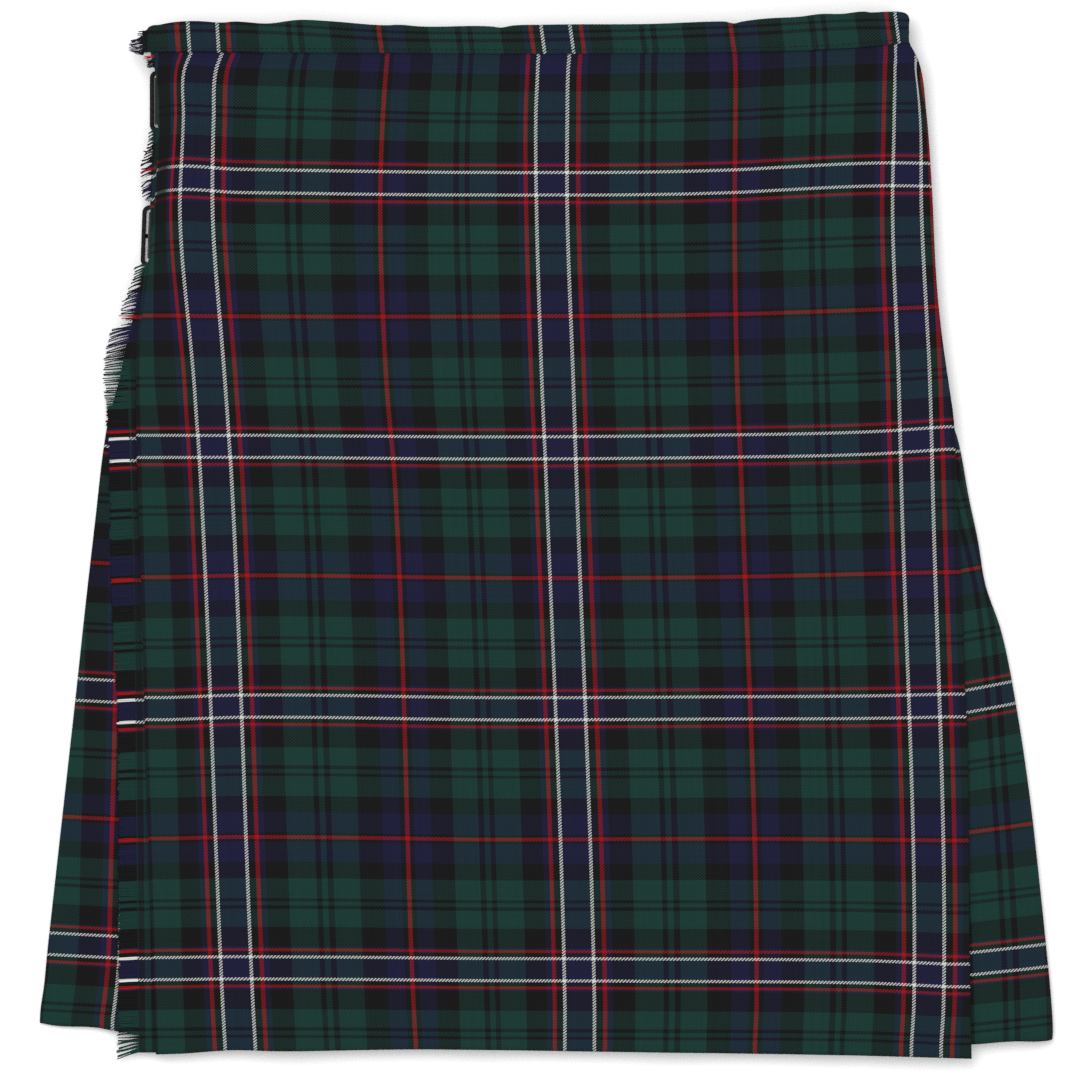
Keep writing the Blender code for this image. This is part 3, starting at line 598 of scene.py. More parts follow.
def makeUnderApron():
    size = underApronSize
    y = np.linspace(size["top"], size["bottom"], size["rows"])[:, None]
    outline = smooth(leftOutline, y)
    seam = smooth(backLeft, y) + pleat["sideShare"] * reveal(y) - cloth["seam"]
    kink = smooth(backLeft, y) + pleat["reach"] * reveal(y)
    low = cloth["floorMid"] + lift(outline, y)
    start = outline + cloth["thick"] / 2 + size["foldReach"]
    floorX = spread(seam, start, size["floorColumns"])
    turn = np.linspace(-math.pi / 2, math.pi / 2, size["foldPoints"])[None, 1:-1]
    flatX = spread(kink, smooth(underEdge, y), size["columns"])[:, 1:]
    topX = np.concatenate([spread(start, kink, size["slopeColumns"]), flatX], axis=1)
    x = np.concatenate([floorX, start - size["foldReach"] * np.cos(turn), topX], axis=1)
    fullY = (y + toEdge(waistEdge, x, y, size["top"], cloth["topRun"], -cloth["underBand"])
             + toEdge(backHem, x, y, size["bottom"], cloth["hemRun"]))
    high = underMid(start, y)
    z = np.concatenate([low + 0 * floorX, (low + high) / 2 + (high - low) / 2 * np.sin(turn),
                        underMid(topX, y + 0 * topX)], axis=1)
    points = np.stack([x, fullY, z], -1)
    firstTop = size["floorColumns"] + size["foldPoints"] - 2
    across = countedFrom(leftStripe, size["stripe"], y, points, slice(firstTop, None))
    leaning = size["lean"] * (np.maximum(x, outline) - size["lineFrom"])
    up = size["line"] + (fullY - size["lineHeight"] + leaning) / size["weftPitch"]
    threads = np.stack([across, up], -1)
    # the rows of a section run to +X along the top only, so the floor side faces down
    piece = shell("underApronCloth", points, threads, cloth["thick"], tartanTwill)
    return piece, clothArea(points)


underApron, underApronArea = makeUnderApron()
finishPiece(underApron, "tartan_wool", "under_apron")
print("under apron made", round(underApronArea, 4))

# wearer's left side, turned up from the floor
leftSideSize = {"rows": 120, "floorColumns": 4, "footPoints": 7, "risePoints": 26, "columns": 12,
                "top": 281, "bottom": -297, "footReach": 2.6, "footHeight": 3.2, "turnShare": 0.62,
                "aboveHem": 0.6, "stripe": 107, "line": -732, "lineHeight": -97.6, "lineFrom": 248, "weftPitch": 0.423}
sideStripe = ((281, 217.0), (55, 236.0), (-38, 257.0), (-156, 267.1), (-238, 272.4), (-274, 273.6),
              (-295, 274.0))   # where its stripe, the middle of the green group, runs
sideLean = ((281, 0.2), (-97, 0.188), (-175, 0.134), (-252, 0.105))


def makeLeftSide():
    size = leftSideSize
    y = np.linspace(size["top"], size["bottom"], size["rows"])[:, None]
    outline = smooth(rightOutline, y) - cloth["thick"] / 2
    seam = smooth(backRight, y) - pleat["sideShare"] * reveal(y) + cloth["seam"]
    turn = size["turnShare"] * reveal(y)
    inner = np.minimum(smooth(apronRight, y) - smooth(apronTurn, y), outline - turn - 5)
    top = cloth["floorMid"] + 2 * pleat["pitch"] * pleat["reach"] + ply
    low = size["footHeight"]
    floorX = spread(seam, outline - size["footReach"], size["floorColumns"])
    foot = np.linspace(-math.pi / 2, 0, size["footPoints"])[None, 1:]
    rise = np.linspace(0, math.pi / 2, size["risePoints"])[None, 1:]
    flatX = spread(outline - turn, inner, size["columns"])[:, 1:]
    x = np.concatenate([floorX, outline - size["footReach"] * (1 - np.cos(foot)),
                        outline - turn * (1 - np.cos(rise)), flatX], axis=1)
    z = np.concatenate([cloth["floorMid"] + 0 * floorX, low + (low - cloth["floorMid"]) * np.sin(foot) + 0 * y,
                        low + (top - low) * np.sin(rise) + 0 * y, top + 0 * flatX], axis=1)
    fullY = y + toEdge(backHem, x, y, size["bottom"], cloth["hemRun"], size["aboveHem"])
    points = np.stack([x, fullY, z], -1)[:, ::-1]   # from the inner edge out and down, so that it faces up
    topCount = size["columns"] + size["risePoints"] - 2
    across = countedFrom(sideStripe, size["stripe"], y, points, slice(0, topCount))
    leaning = straight(sideLean, points[..., 1]) * (points[..., 0] - size["lineFrom"])
    up = size["line"] + (points[..., 1] - size["lineHeight"] - leaning) / size["weftPitch"]
    piece = shell("leftSideCloth", points, np.stack([across, up], -1), cloth["thick"], tartanTwill)
    return piece, clothArea(points)


leftSide, leftSideArea = makeLeftSide()
finishPiece(leftSide, "tartan_wool", "left_side")
print("left side made", round(leftSideArea, 4))

# pleated back
backSize = {"rows": 60, "top": 281, "bottom": -297, "foldPoints": 5, "runPoints": 3, "aboveHem": 1.0,
            "firstThread": -35, "firstLine": 40, "shown": 1.1}


def arc(x, z, radius, first, last, count):
    # points round a bend, from one angle to another in degrees
    swings = np.radians(np.linspace(first, last, count))
    return [(x + radius * math.cos(swing), z + radius * math.sin(swing)) for swing in swings]


def between(start, end, count):
    shares = np.linspace(0, 1, count + 2)[1:-1]
    return [(start[0] + (end[0] - start[0]) * share, start[1] + (end[1] - start[1]) * share) for share in shares]


def pleatSection(y):
    # the middle line of the pleats at one height, and which of its points each pleat starts at
    start, step = float(smooth(backLeft, y)), float(reveal(y))
    half, floor, pitch = pleat["pitch"] / 2, cloth["floorMid"], pleat["pitch"]
    line, marks = [(start + pleat["sideShare"] * step, floor)], [0]
    for index in range(pleat["count"] - 1):
        origin = start + index * step
        reach = min(pleat["reach"], pleat["count"] - index - pleat["endRoom"])
        far, near, top = origin + reach * step, origin + step, floor + 2 * pitch * reach
        line += [(origin + pleat["flatShare"] * step, floor), (near, floor + 2 * pitch)]
        line += between(line[-1], (far - half, top), backSize["runPoints"])
        line += arc(far - half, top - half, half, 90, -90, backSize["foldPoints"])
        line += between((far - half, top - pitch), (near + half, floor + pitch), backSize["runPoints"])
        line += arc(near + half, floor + half, half, 90, 270, backSize["foldPoints"])
        marks.append(len(line) - 1)
    line.append((start + (pleat["count"] - pleat["sideShare"]) * step, floor))
    return line, marks + [len(line) - 1]


def makePleatedBack():
    size = backSize
    grid, counts = [], []
    for y in np.linspace(size["top"], size["bottom"], size["rows"]):
        line, marks = pleatSection(y)
        xz = np.array(line)
        hem = toEdge(backHem, xz[:, 0], y, size["bottom"], cloth["hemRun"], size["aboveHem"])
        row = np.stack([xz[:, 0], y + hem, xz[:, 1] + lift(xz[:, 0], y)], -1)
        along = sectionLength(row[None])[0]
        # each pleat starts at the same place in the sett
        threads = np.zeros(len(row))
        for place, (first, last) in enumerate(zip(marks, marks[1:])):
            begin = 2 * warpTurn * place + size["firstThread"]
            run = along[first:last + 1] - along[first]
            shown = float(reveal(y)) * size["shown"] / tartan["warpPitch"]
            real = run / tartan["warpPitch"]
            hidden = np.maximum(real - shown, 0) / max(real[-1] - shown, 1e-6)
            threads[first:last + 1] = begin + np.minimum(real, shown) + hidden * (2 * warpTurn - shown)
        grid.append(row)
        counts.append(np.stack([-threads, (y + hem) / tartan["weftPitch"] + size["firstLine"]], -1))
    points, threads = np.array(grid), np.array(counts)
    piece = shell("pleatedBackCloth", points, threads, cloth["thick"], tartanTwill)
    return piece, clothArea(points)


pleatedBack, pleatedBackArea = makePleatedBack()
finishPiece(pleatedBack, "tartan_wool", "pleated_back")
print("pleated back made", round(pleatedBackArea, 4))

# waistbands
bandSize = {"columns": 280, "lean": 0.14, "lessLean": 0.55, "legRows": 8, "topPoints": 9, "pucker": 0.12,
            "endPitch": 0.6, "line": 90, "topRound": 1.0}
bandRows = ((-232, 298.0), (-203, 298.9), (-156, 297.5), (-83, 293.5), (41, 294.4), (123, 297.3), (180, 300.5),
            (214, 300.5))   # where the middle of its green group lies
bandStripes = ((-216.5, -29.5), (-201.4, 0), (-97.5, 206.5), (6.8, 413), (109.6, 619.5), (201.5, 796.5), (206.4, 809))


def bandThreads(x):
    rows = np.array(bandStripes)
    inner = np.interp(x, rows[:, 0], rows[:, 1])
    return (inner + np.minimum(x - rows[0, 0], 0) / bandSize["endPitch"]
            + np.maximum(x - rows[-1, 0], 0) / tartan["warpPitch"])


def foldedBand(name, xFrom, xTo, panelMid, turnDrop, shift):
    # a strip folded over a panel's top edge, from its back foot over the top to its front foot
    size = bandSize
    even = np.linspace(0, 1, size["columns"])[None, :]
    x = xFrom + (xTo - xFrom) * (even - 0.1 * np.sin(2 * math.pi * even))   # closer toward the two ends
    foot, top = smooth(bandFoot, x), smooth(waistEdge, x)
    radius = (2 * ply + turnDrop(x)) / 2
    bend = top - cloth["thick"] / 2 - size["topRound"]
    legs = np.linspace(0, 1, size["legRows"])[:, None]
    backY, frontY = foot + (bend - foot) * legs, bend + (foot - bend) * legs
    turn = np.linspace(-math.pi / 2, math.pi / 2, size["topPoints"])[1:-1, None]
    topY = bend + size["topRound"] * np.cos(turn)
    middle = panelMid(x, bend) - turnDrop(x) / 2
    pucker = size["pucker"] * np.sin(x / 2.3) * np.clip(1 - abs(frontY - foot - 3) / 4, 0, 1)
    z = np.concatenate([panelMid(x, backY) - ply - turnDrop(x), middle + radius * np.sin(turn),
                        panelMid(x, frontY) + ply - pucker], axis=0)
    y = np.concatenate([backY, topY, frontY], axis=0)
    points = np.stack([x + 0 * y, y, z], -1)
    length = sectionLength(points.transpose(1, 0, 2)).T
    fromFoot = (length[-1:] - length) / tartan["weftPitch"]
    up = size["line"] + (foot - smooth(bandRows, x)) / tartan["weftPitch"] + fromFoot
    lean = size["lean"] * (1 - size["lessLean"] * ease((-120 - x) / 60))   # the strip is straighter at its open end
    threads = np.stack([bandThreads(x + lean * (y - foot - 8)) + shift, up], -1)
    piece = shell(name, points, threads, cloth["thick"], tartanTwill)
    return piece, clothArea(points)


frontBand, frontBandArea = foldedBand("waistbandFrontCloth", -237.2, 213.4, overMid,
                                      lambda x: ply * ease((x - 184.0) / 12.0), 0)
underBand, underBandArea = foldedBand("waistbandUnderCloth", -226.0, 176.0, underMid, lambda x: 0 * x, 150)
finishPiece(frontBand, "tartan_wool", "waistband_front")
finishPiece(underBand, "tartan_wool", "waistband_under")


backBandSize = {"left": -222.3, "right": 211.5, "columns": 160, "ring": 28, "squareness": 0.28,
                "firstThread": 60, "line": 90, "lineHeight": 293.9}


def makeBackBand():
    # the strip round the sewn pleat tops: in section a rounded bar that is open nowhere
    size = backBandSize
    columns, ring, squareness = size["columns"], size["ring"], size["squareness"]
    x = np.linspace(size["left"], size["right"], columns)[:, None]
    foot, top = backSize["top"] + cloth["seam"], smooth(waistEdge, x) - 1.5
    low, high = lift(x, top) + 0.02, backTop(x, top) + 0.5
    angle = np.linspace(0, 2 * math.pi, ring, endpoint=False)[None, :]
    c, s = np.cos(angle), np.sin(angle)
    y = (foot + top) / 2 + (top - foot) / 2 * np.sign(c) * abs(c) ** squareness
    z = (low + high) / 2 + (high - low) / 2 * np.sign(s) * abs(s) ** squareness
    points = np.stack([x + 0 * y, y, z], -1)
    number = np.arange(columns * ring).reshape(columns, ring)
    ahead = np.roll(number, -1, axis=1)
    sides = np.stack([number[:-1], ahead[:-1], ahead[1:], number[1:]], -1).reshape(-1, 4)
    threads = np.stack([bandThreads(x) + size["firstThread"] + 0 * y,
                        size["line"] + (y - size["lineHeight"] + z) / tartan["weftPitch"]], -1)
    piece = woolPiece("waistbandBackCloth", points, sides.tolist() + [number[0, ::-1].tolist(), number[-1].tolist()],
                      threads)
    piece.data.materials.append(tartanTwill)
    return piece


backBand = makeBackBand()
finishPiece(backBand, "tartan_wool", "waistband_back")
print("waistbands made", round(frontBandArea, 4), round(underBandArea, 4))

# yarn that hangs loose
def newTree(name, **sockets):
    tree = bpy.data.node_groups.new(name, "GeometryNodeTree")
    tree.interface.new_socket("Geometry", in_out="INPUT", socket_type="NodeSocketGeometry")
    for label, kind in sockets.items():
        tree.interface.new_socket(label.replace("_", " "), in_out="INPUT", socket_type="NodeSocket" + kind)
    tree.interface.new_socket("Geometry", in_out="OUTPUT", socket_type="NodeSocketGeometry")
    return tree, addNode(tree, "NodeGroupInput")


def closeTree(tree, geometry, material):
    dressed = addNode(tree, "GeometryNodeSetMaterial", None, Geometry=geometry, Material=material)
    addNode(tree, "NodeGroupOutput", None, i0=(dressed, 0))
    return tree


def applied(piece):
    # the evaluated shape becomes the piece's own mesh, and its modifiers go
    bpy.context.view_layer.update()
    graph = bpy.context.evaluated_depsgraph_get()
    mesh = bpy.data.meshes.new_from_object(piece.evaluated_get(graph), preserve_all_data_layers=True,
                                           depsgraph=graph)
    old = piece.data
    piece.modifiers.clear()
    piece.data = mesh
    mesh.name = piece.name
    bpy.data.meshes.remove(old)
    return piece


def built(piece, tree, **values):
    # the helper becomes what the node tree makes from it
    modifier = piece.modifiers.new(tree.name, "NODES")
    modifier.node_group = tree
    for item in tree.interface.items_tree:
        key = item.name.replace(" ", "")
        if key in values:
            modifier[item.identifier] = values[key]
    return shadeSmooth(applied(piece))


def makeYarnTree():
    # each loose edge of the helper becomes one round yarn that thins to its tip
    tree, given = newTree("yarnAlongEdges", Yarn_Radius="Float", Yarn_Sides="Int", Yarn_Material="Material")
    lines = addNode(tree, "GeometryNodeMeshToCurve", None, Mesh=(given, 0))
    profile = addNode(tree, "GeometryNodeCurvePrimitiveCircle", None, Resolution=(given, 2), Radius=(given, 1))
    taper = addNode(tree, "GeometryNodeInputNamedAttribute", {"data_type": "FLOAT"}, Name="yarnWidth")
    sized = addNode(tree, "GeometryNodeSetCurveRadius", None, Curve=(lines, 0), Radius=(taper, 0))
    tubes = addNode(tree, "GeometryNodeCurveToMesh", None, Curve=(sized, 0), i1=(profile, 0), Fill_Caps=True)
    return closeTree(tree, (tubes, 0), (given, 3))


yarnTree = makeYarnTree()


def yarns(name, lines, places, widths, radius):
    # lines: yarns by points by xyz in mm; places: each yarn's place in the weft; widths along each yarn
    lines = np.asarray(lines, float)
    count, points = lines.shape[:2]
    index = np.arange(count * points).reshape(count, points)
    edges = np.stack([index[:, :-1], index[:, 1:]], -1).reshape(-1, 2)
    piece = newPiece(name, lines, edges.tolist())
    addValues(piece, "weftPlace", np.repeat(places, points))
    addValues(piece, "yarnWidth", np.tile(widths, count))
    return built(piece, yarnTree, YarnRadius=radius * mm, YarnSides=fringe["sides"], YarnMaterial=looseYarn)


fringe = {"pitch": 0.42, "radius": 0.24, "sides": 5, "points": 7, "seed": 11, "top": 239.5, "bottom": -304.6,
          "stripRows": 180, "stripColumns": 9, "lockLeast": 3, "lockMost": 4, "lockWander": 0.22,
          "yarnWander": 0.08, "lockReach": 0.5, "yarnReach": 0.25, "sway": 0.3, "lowest": -309.6, "shortest": 1.6,
          "backReach": 8.0, "stripThick": 0.7, "stripThread": -113.5, "endDroop": 4.6, "underLayer": 0.9}
fringeRoot = ((239.5, -231.0), (197, -232.9), (162, -233.7), (157, -236.6), (138, -239.8), (109, -244.7), (80, -246.2),
              (62, -245.9), (-26, -243.0), (-250, -240.6), (-303, -239.4))
fringeTip = ((239.5, -231.8), (237, -233.6), (221, -237.2), (216, -238.2), (205, -238.0), (199, -237.4),
             (196, -234.0), (194, -232.4), (161, -233.2), (158, -241.4), (148, -244.7), (137, -248.4),
             (131, -250.6), (127.6, -250.6), (126.6, -245.0), (124.5, -247.0), (121.5, -256.0), (115, -257.8),
             (104, -260.0), (90, -260.6), (80, -259.4), (56, -257.6), (-24, -256.2),
             (-61, -254.7), (-95, -252.6), (-179, -251.4), (-292, -251.9), (-306, -252.6))
# how far the strip's rows lie below the apron's
fringeShift = ((245, 2.4), (195, 2.4), (160, 0.8), (130, 0.8), (100, 1.4), (62, 1.8), (-38, 1.8), (-300, 0.2))
fringeSlope = ((239.5, 0.4), (200, 0.5), (158, 0.45), (140, 0.35), (132, 0.1), (128, 0.0), (124, 0.3), (110, 0.25),
               (103, 0.1), (95, 0.05), (-303.5, 0.05))   # how far the yarns droop along their length
stripLine = ((245, -230.0), (168, -236.0), (109, -242.4), (62, -242.1), (-38, -240.0), (-156, -238.5),
             (-274, -237.4), (-306, -237.0))   # where its own thread, a black line, runs


def fringePlace(x, y):
    return threadsUp(x, y + smooth(fringeShift, y))


def makeFringeStrip():
    y = np.linspace(fringe["top"], fringe["bottom"], fringe["stripRows"])[:, None]
    root, back = smooth(fringeRoot, y), smooth(apronLeft, y) + fringe["backReach"]
    x = spread(root, back, fringe["stripColumns"])
    fullY = y + 0 * x
    points = np.stack([x, fullY, stripMid(x, fullY)], -1)
    across = fringe["stripThread"] + (x - smooth(stripLine, y)) / tartan["warpPitch"]
    threads = np.stack([across, fringePlace(x, fullY)], -1)
    return shell("fringeStripCloth", points, threads, fringe["stripThick"], tartanTwill)


def lockNumbers(rng, count):
    # yarns cling together in locks of a few
    sizes = rng.integers(fringe["lockLeast"], fringe["lockMost"] + 1, count)
    return np.repeat(np.arange(count), sizes)[:count]


def fringeLayer(rng, depth):
    top, count = fringe["top"], int((fringe["top"] - fringe["bottom"]) / fringe["pitch"])
    y = top - (np.arange(count) + 0.5 + depth) * fringe["pitch"]
    lock = lockNumbers(rng, count)
    shift, bow, reach = rng.normal(0, 1, (3, lock[-1] + 1))
    middle = np.bincount(lock, y) / np.bincount(lock)
    free = np.maximum(ease((y - 70) / 14), ease((-286 - y) / 6))   # where nothing lies under the yarns
    loose = 0.25 + free
    root = smooth(fringeRoot, y) + 0.5
    wander = fringe["lockWander"] * shift[lock] + rng.normal(0, fringe["yarnWander"], count)
    droop = straight(fringeSlope, y) * (root - straight(fringeTip, y)) + wander * loose
    droop = droop + fringe["endDroop"] * ease((-295 - y) / 9)   # the corner's last yarns hang down
    tip = straight(fringeTip, y - droop) + fringe["lockReach"] * reach[lock]
    tip = tip + rng.normal(0, fringe["yarnReach"], count)
    share = np.linspace(0, 1, fringe["points"])[None, :]
    cling = ((y - middle[lock]) * (0.15 + 0.5 * free))[:, None]
    x = root[:, None] + (tip - root)[:, None] * share
    fall = droop[:, None] * share ** 1.3 + cling * ease(share * 1.4)
    sway = (fringe["sway"] * bow[lock] * loose)[:, None] * np.sin(math.pi * share)
    fullY = np.maximum(y[:, None] - fall + sway, fringe["lowest"])
    outline = smooth(leftOutline, fullY)
    rest = underMid(np.maximum(x, outline + 0.6), fullY) + ply
    rest = rest + strapBump(root, y)[:, None] * (1 - share)
    beyond = np.maximum(outline - x - 1.5, 0)
    level = rng.uniform(-0.05, 0.25, count)[:, None] * share
    z = rest + level - 0.16 * beyond - 0.1 - fringe["underLayer"] * depth
    keep = (root - tip > fringe["shortest"]) & ((depth == 0) | (free < 0.5))
    return np.stack([x, fullY, z], -1)[keep], fringePlace(root, y)[keep]


def makeFringeYarns():
    rng = np.random.default_rng(fringe["seed"])
    lines, places = fringeLayer(rng, 0)
    underLines, underPlaces = fringeLayer(rng, 0.5)   # a second row fills in between them
    widths = 1.0 - 0.35 * np.linspace(0, 1, fringe["points"]) ** 3
    return yarns("apronFringeYarns", np.concatenate([lines, underLines]), np.concatenate([places, underPlaces]),
                 widths, fringe["radius"])


fringeStrip = makeFringeStrip()
fringeYarns = makeFringeYarns()
finishPiece(fringeStrip, "fringe_wool", "apron_fringe")
finishPiece(fringeYarns, "fringe_wool")
print("fringe made", len(fringeYarns.data.polygons))

bandFringe = {"seed": 5, "points": 7, "radius": 0.2, "corner": 5}
bandTufts = (   # yarns, root x, its first and last y, tip x, its first and last y, height, place in the weft
    (42, -236.4, 293.8, 282.6, -244.4, 291.8, 283.4, -0.3, 5),
    (24, -234.4, 296.6, 283.6, -239.4, 296.2, 283.0, 0.75, 45),
    (10, -230.6, 282.3, 280.4, -235.4, 281.6, 280.4, -0.3, 25),
    (22, -230.2, 281.2, 275.0, -234.2, 280.6, 274.6, -0.3, 45),
)


def makeBandFringe():
    # raw ends that stick out of the waistband's open end
    rng = np.random.default_rng(bandFringe["seed"])
    share = np.linspace(0, 1, bandFringe["points"])[None, :]
    lines, places = [], []
    for count, rootX, rootTop, rootLow, tipX, tipTop, tipLow, height, place in bandTufts:
        even = np.linspace(0, 1, count)
        lock = np.repeat(rng.normal(0, 1, count // 2 + 1), 2)[:count]
        rootY = rootTop + (rootLow - rootTop) * even
        tipY = tipTop + (tipLow - tipTop) * even + 0.25 * lock + rng.normal(0, 0.28, count)
        corner = place == bandFringe["corner"]   # this tuft sprays out and mixes two colours
        far = tipX + 0.6 * lock + rng.normal(0, 0.5, count) + 9 * abs(even - 0.4) ** 2 * corner
        x = rootX + (far[:, None] - rootX) * share
        y = rootY[:, None] + (tipY - rootY)[:, None] * ease(share * 1.1) + 0.3 * lock[:, None] * np.sin(math.pi * share)
        z = overMid(-234.0 + 0 * x, y) + ply + height - 0.13 * abs(x - rootX) * share
        lines.append(np.stack([x, y, z], -1))
        places.append(place + rng.choice([0, 0, 0, 35], count) * corner)
    return yarns("bandFringeYarns", np.concatenate(lines), np.concatenate(places), 1.0 - 0.35 * share[0] ** 2,
                 bandFringe["radius"])


bandYarns = makeBandFringe()
finishPiece(bandYarns, "fringe_wool", "band_fringe")

# leather straps and their buckles
buckle = {"long": 22.0, "high": 36.0, "corner": 4.0, "bar": 2.45, "thick": 1.8, "edge": 0.4, "foot": 2.0,
          "slope": 0.0136, "slotPlace": 14.8, "slotLong": 11.0, "slotWide": 3.8}


def strapLine(strap, y):
    # sewn under the apron, round the wearer's right side, down through the frame and under its heel bar
    size, lean = strapSize, strap["lean"] * (y - strap["height"])
    bend, half = strap["bend"] + lean, size["thick"] / 2
    reach = size["sewn"] - half - size["topRadius"] - 1.0
    line = []
    for step in range(9):
        x = bend + size["sewn"] - reach * step / 8
        line.append((x, float(underMid(np.array(x), np.array(y))) + 0.9 + half))
    outer = bend + half
    line += arc(outer + size["topRadius"], line[-1][1] - size["topRadius"], size["topRadius"], 90, 180, 10)
    line += arc(outer + size["lowRadius"], size["tail"] + size["lowRadius"], size["lowRadius"], 180, 270, 10)
    heel = strap["front"] + buckle["long"] + lean
    line += [(heel + along, size["tail"]) for along in (-6.0, 0.0, 4.0, 7.0, 10.0, 12.5, size["tailEnd"])]
    return np.array(line)


# how the strap thins to its rounded edges: share of its half width, share of its thickness
strapEdge = ((0, 1), (0.35, 1), (0.7, 1), (0.945, 1), (0.978, 0.86), (0.994, 0.62), (1, 0.3))


def makeStrapLeather(strap):
    # a strap with rounded edges, and with a rounded tip where its line ends
    size, middle = strapSize, strap["height"]
    side, thin = np.array(strapEdge).T
    offsets, shares = np.concatenate([side[::-1], -side[1:]]), np.concatenate([thin[::-1], thin[1:]])
    grid = []
    for offset in offsets:
        line = strapLine(strap, middle + offset * size["width"] / 2)
        left = np.concatenate([np.cumsum(np.linalg.norm(np.diff(line, axis=0), axis=1)[::-1])[::-1], [0]])
        corner = np.clip(1 - left / size["tip"], 0, 1)
        half = size["width"] / 2 - size["tip"] * (1 - np.sqrt(1 - corner ** 2))
        grid.append(np.stack([line[:, 0], middle + offset * half, line[:, 1]], -1))
    points = np.array(grid)
    thickness = size["thick"] * shares[:, None] * np.ones(points.shape[1])[None, :]
    thickness[:, [0, -1]] *= 0.4
    return shell(strap["name"] + "StrapLeather", points, points[..., :2], thickness, blackLeather)


def cutSlot(piece, place, long, wide):
    # an oblong hole with round ends
    bpy.ops.mesh.primitive_cylinder_add(vertices=24, radius=wide / 2 * mm, depth=6 * mm,
                                        location=[c * mm for c in place])
    cutter = bpy.context.object
    for corner in cutter.data.vertices:
        corner.co.x += math.copysign((long - wide) / 2 * mm, corner.co.x) if abs(corner.co.x) > 1e-7 else 0
    cut = piece.modifiers.new("punched slot", "BOOLEAN")
    cut.operation, cut.solver, cut.object = "DIFFERENCE", "EXACT", cutter
    applied(piece)
    bpy.data.objects.remove(cutter, do_unlink=True)


def makeFrameTree():
    # a rounded rectangle of bar with soft edges, set flat
    tree, given = newTree("buckleFrame", Frame_Long="Float", Frame_High="Float", Corner_Radius="Float",
                          Bar_Width="Float", Bar_Thickness="Float", Bar_Edge="Float", Frame_Material="Material")
    rounded = []
    for first, count in ((1, 8), (4, 3)):   # the frame's outline, then the bar's section
        sides = addNode(tree, "GeometryNodeCurvePrimitiveQuadrilateral", None, Width=(given, first),
                        Height=(given, first + 1))
        rounded.append(addNode(tree, "GeometryNodeFilletCurve", {"mode": "POLY"}, Curve=(sides, 0), Count=count,
                               Radius=(given, first + 2)))
    bar = addNode(tree, "GeometryNodeCurveToMesh", None, Curve=(rounded[0], 0), i1=(rounded[1], 0))
    return closeTree(tree, (bar, 0), (given, 7))


frameTree = makeFrameTree()


def makeFrame(name, strap):
    size, inset = buckle, buckle["bar"] / 2
    piece = built(newPiece(name, []), frameTree, FrameLong=(size["long"] - size["bar"]) * mm,
                  FrameHigh=(size["high"] - size["bar"]) * mm, CornerRadius=(size["corner"] - inset) * mm,
                  BarWidth=size["bar"] * mm, BarThickness=size["thick"] * mm, BarEdge=size["edge"] * mm,
                  FrameMaterial=blackEnamel)
    for corner in piece.data.vertices:
        x, y, z = corner.co / mm
        fromFront = x + size["long"] / 2
        corner.co = ((strap["front"] + strap["lean"] * y + fromFront) * mm, (strap["height"] + y) * mm,
                     (size["foot"] + size["slope"] * fromFront + size["thick"] / 2 + z) * mm)
    return piece


def softened(node, name, bevel, material):
    # a copy of a CAD piece with its corners welded and then rounded
    mesh = bpy.data.objects[node].data.copy()
    mesh.transform(bpy.data.objects[node].matrix_world)
    piece = bpy.data.objects.new(name, mesh)
    bpy.context.collection.objects.link(piece)
    weld = piece.modifiers.new("weld", "WELD")
    weld.merge_threshold = 0.01 * mm
    flat = piece.modifiers.new("flat faces", "DECIMATE")
    flat.decimate_type, flat.angle_limit = "DISSOLVE", math.radians(1)
    rounding = piece.modifiers.new("rounding", "BEVEL")
    rounding.width, rounding.segments, rounding.limit_method = bevel * mm, 3, "ANGLE"
    applied(piece)
    piece.data.materials.clear()
    piece.data.materials.append(material)
    return shadeSmooth(piece)


def makeStitchTree():
    # short raised stitches at even steps along the helper's edges
    tree, given = newTree("stitchesAlongEdges", Stitch_Step="Float", Stitch_Length="Float",
                          Thread_Radius="Float", Thread_Material="Material")
    line = addNode(tree, "GeometryNodeMeshToCurve", None, Mesh=(given, 0))
    even = addNode(tree, "GeometryNodeResampleCurve", {"mode": "LENGTH"}, Curve=(line, 0), Length=(given, 1))
    along = addNode(tree, "GeometryNodeInputTangent")
    turned = addNode(tree, "FunctionNodeAlignRotationToVector", {"axis": "X"}, Vector=(along, 0))
    bead = addNode(tree, "GeometryNodeMeshUVSphere", None, Segments=6, Rings=5, Radius=1.0)
    halfLength = sums(tree, "MULTIPLY", (given, 2), 0.5)
    size = addNode(tree, "ShaderNodeCombineXYZ", None, X=halfLength, Y=(given, 3), Z=(given, 3))
    stitch = addNode(tree, "GeometryNodeTransform", None, Geometry=(bead, 0), Scale=(size, 0))
    placed = addNode(tree, "GeometryNodeInstanceOnPoints", None, Points=(even, 0), Instance=(stitch, 0),
                     Rotation=(turned, 0))
    real = addNode(tree, "GeometryNodeRealizeInstances", None, Geometry=(placed, 0))
    return closeTree(tree, (real, 0), (given, 4))


stitchTree = makeStitchTree()


strapStitch = {"step": 3.0, "length": 2.3, "radius": 0.28, "proud": 0.02}
bandStitch = {"step": 3.1, "length": 2.5, "radius": 0.26, "proud": 0.42, "fromFoot": 2.4}


def stitches(name, lines, stitch):
    points, edges = [], []
    for line in lines:
        edges += [(i, i + 1) for i in range(len(points), len(points) + len(line) - 1)]
        points += line
    return built(newPiece(name, points, edges), stitchTree, StitchStep=stitch["step"] * mm,
                 StitchLength=stitch["length"] * mm, ThreadRadius=stitch["radius"] * mm, ThreadMaterial=sewingThread)


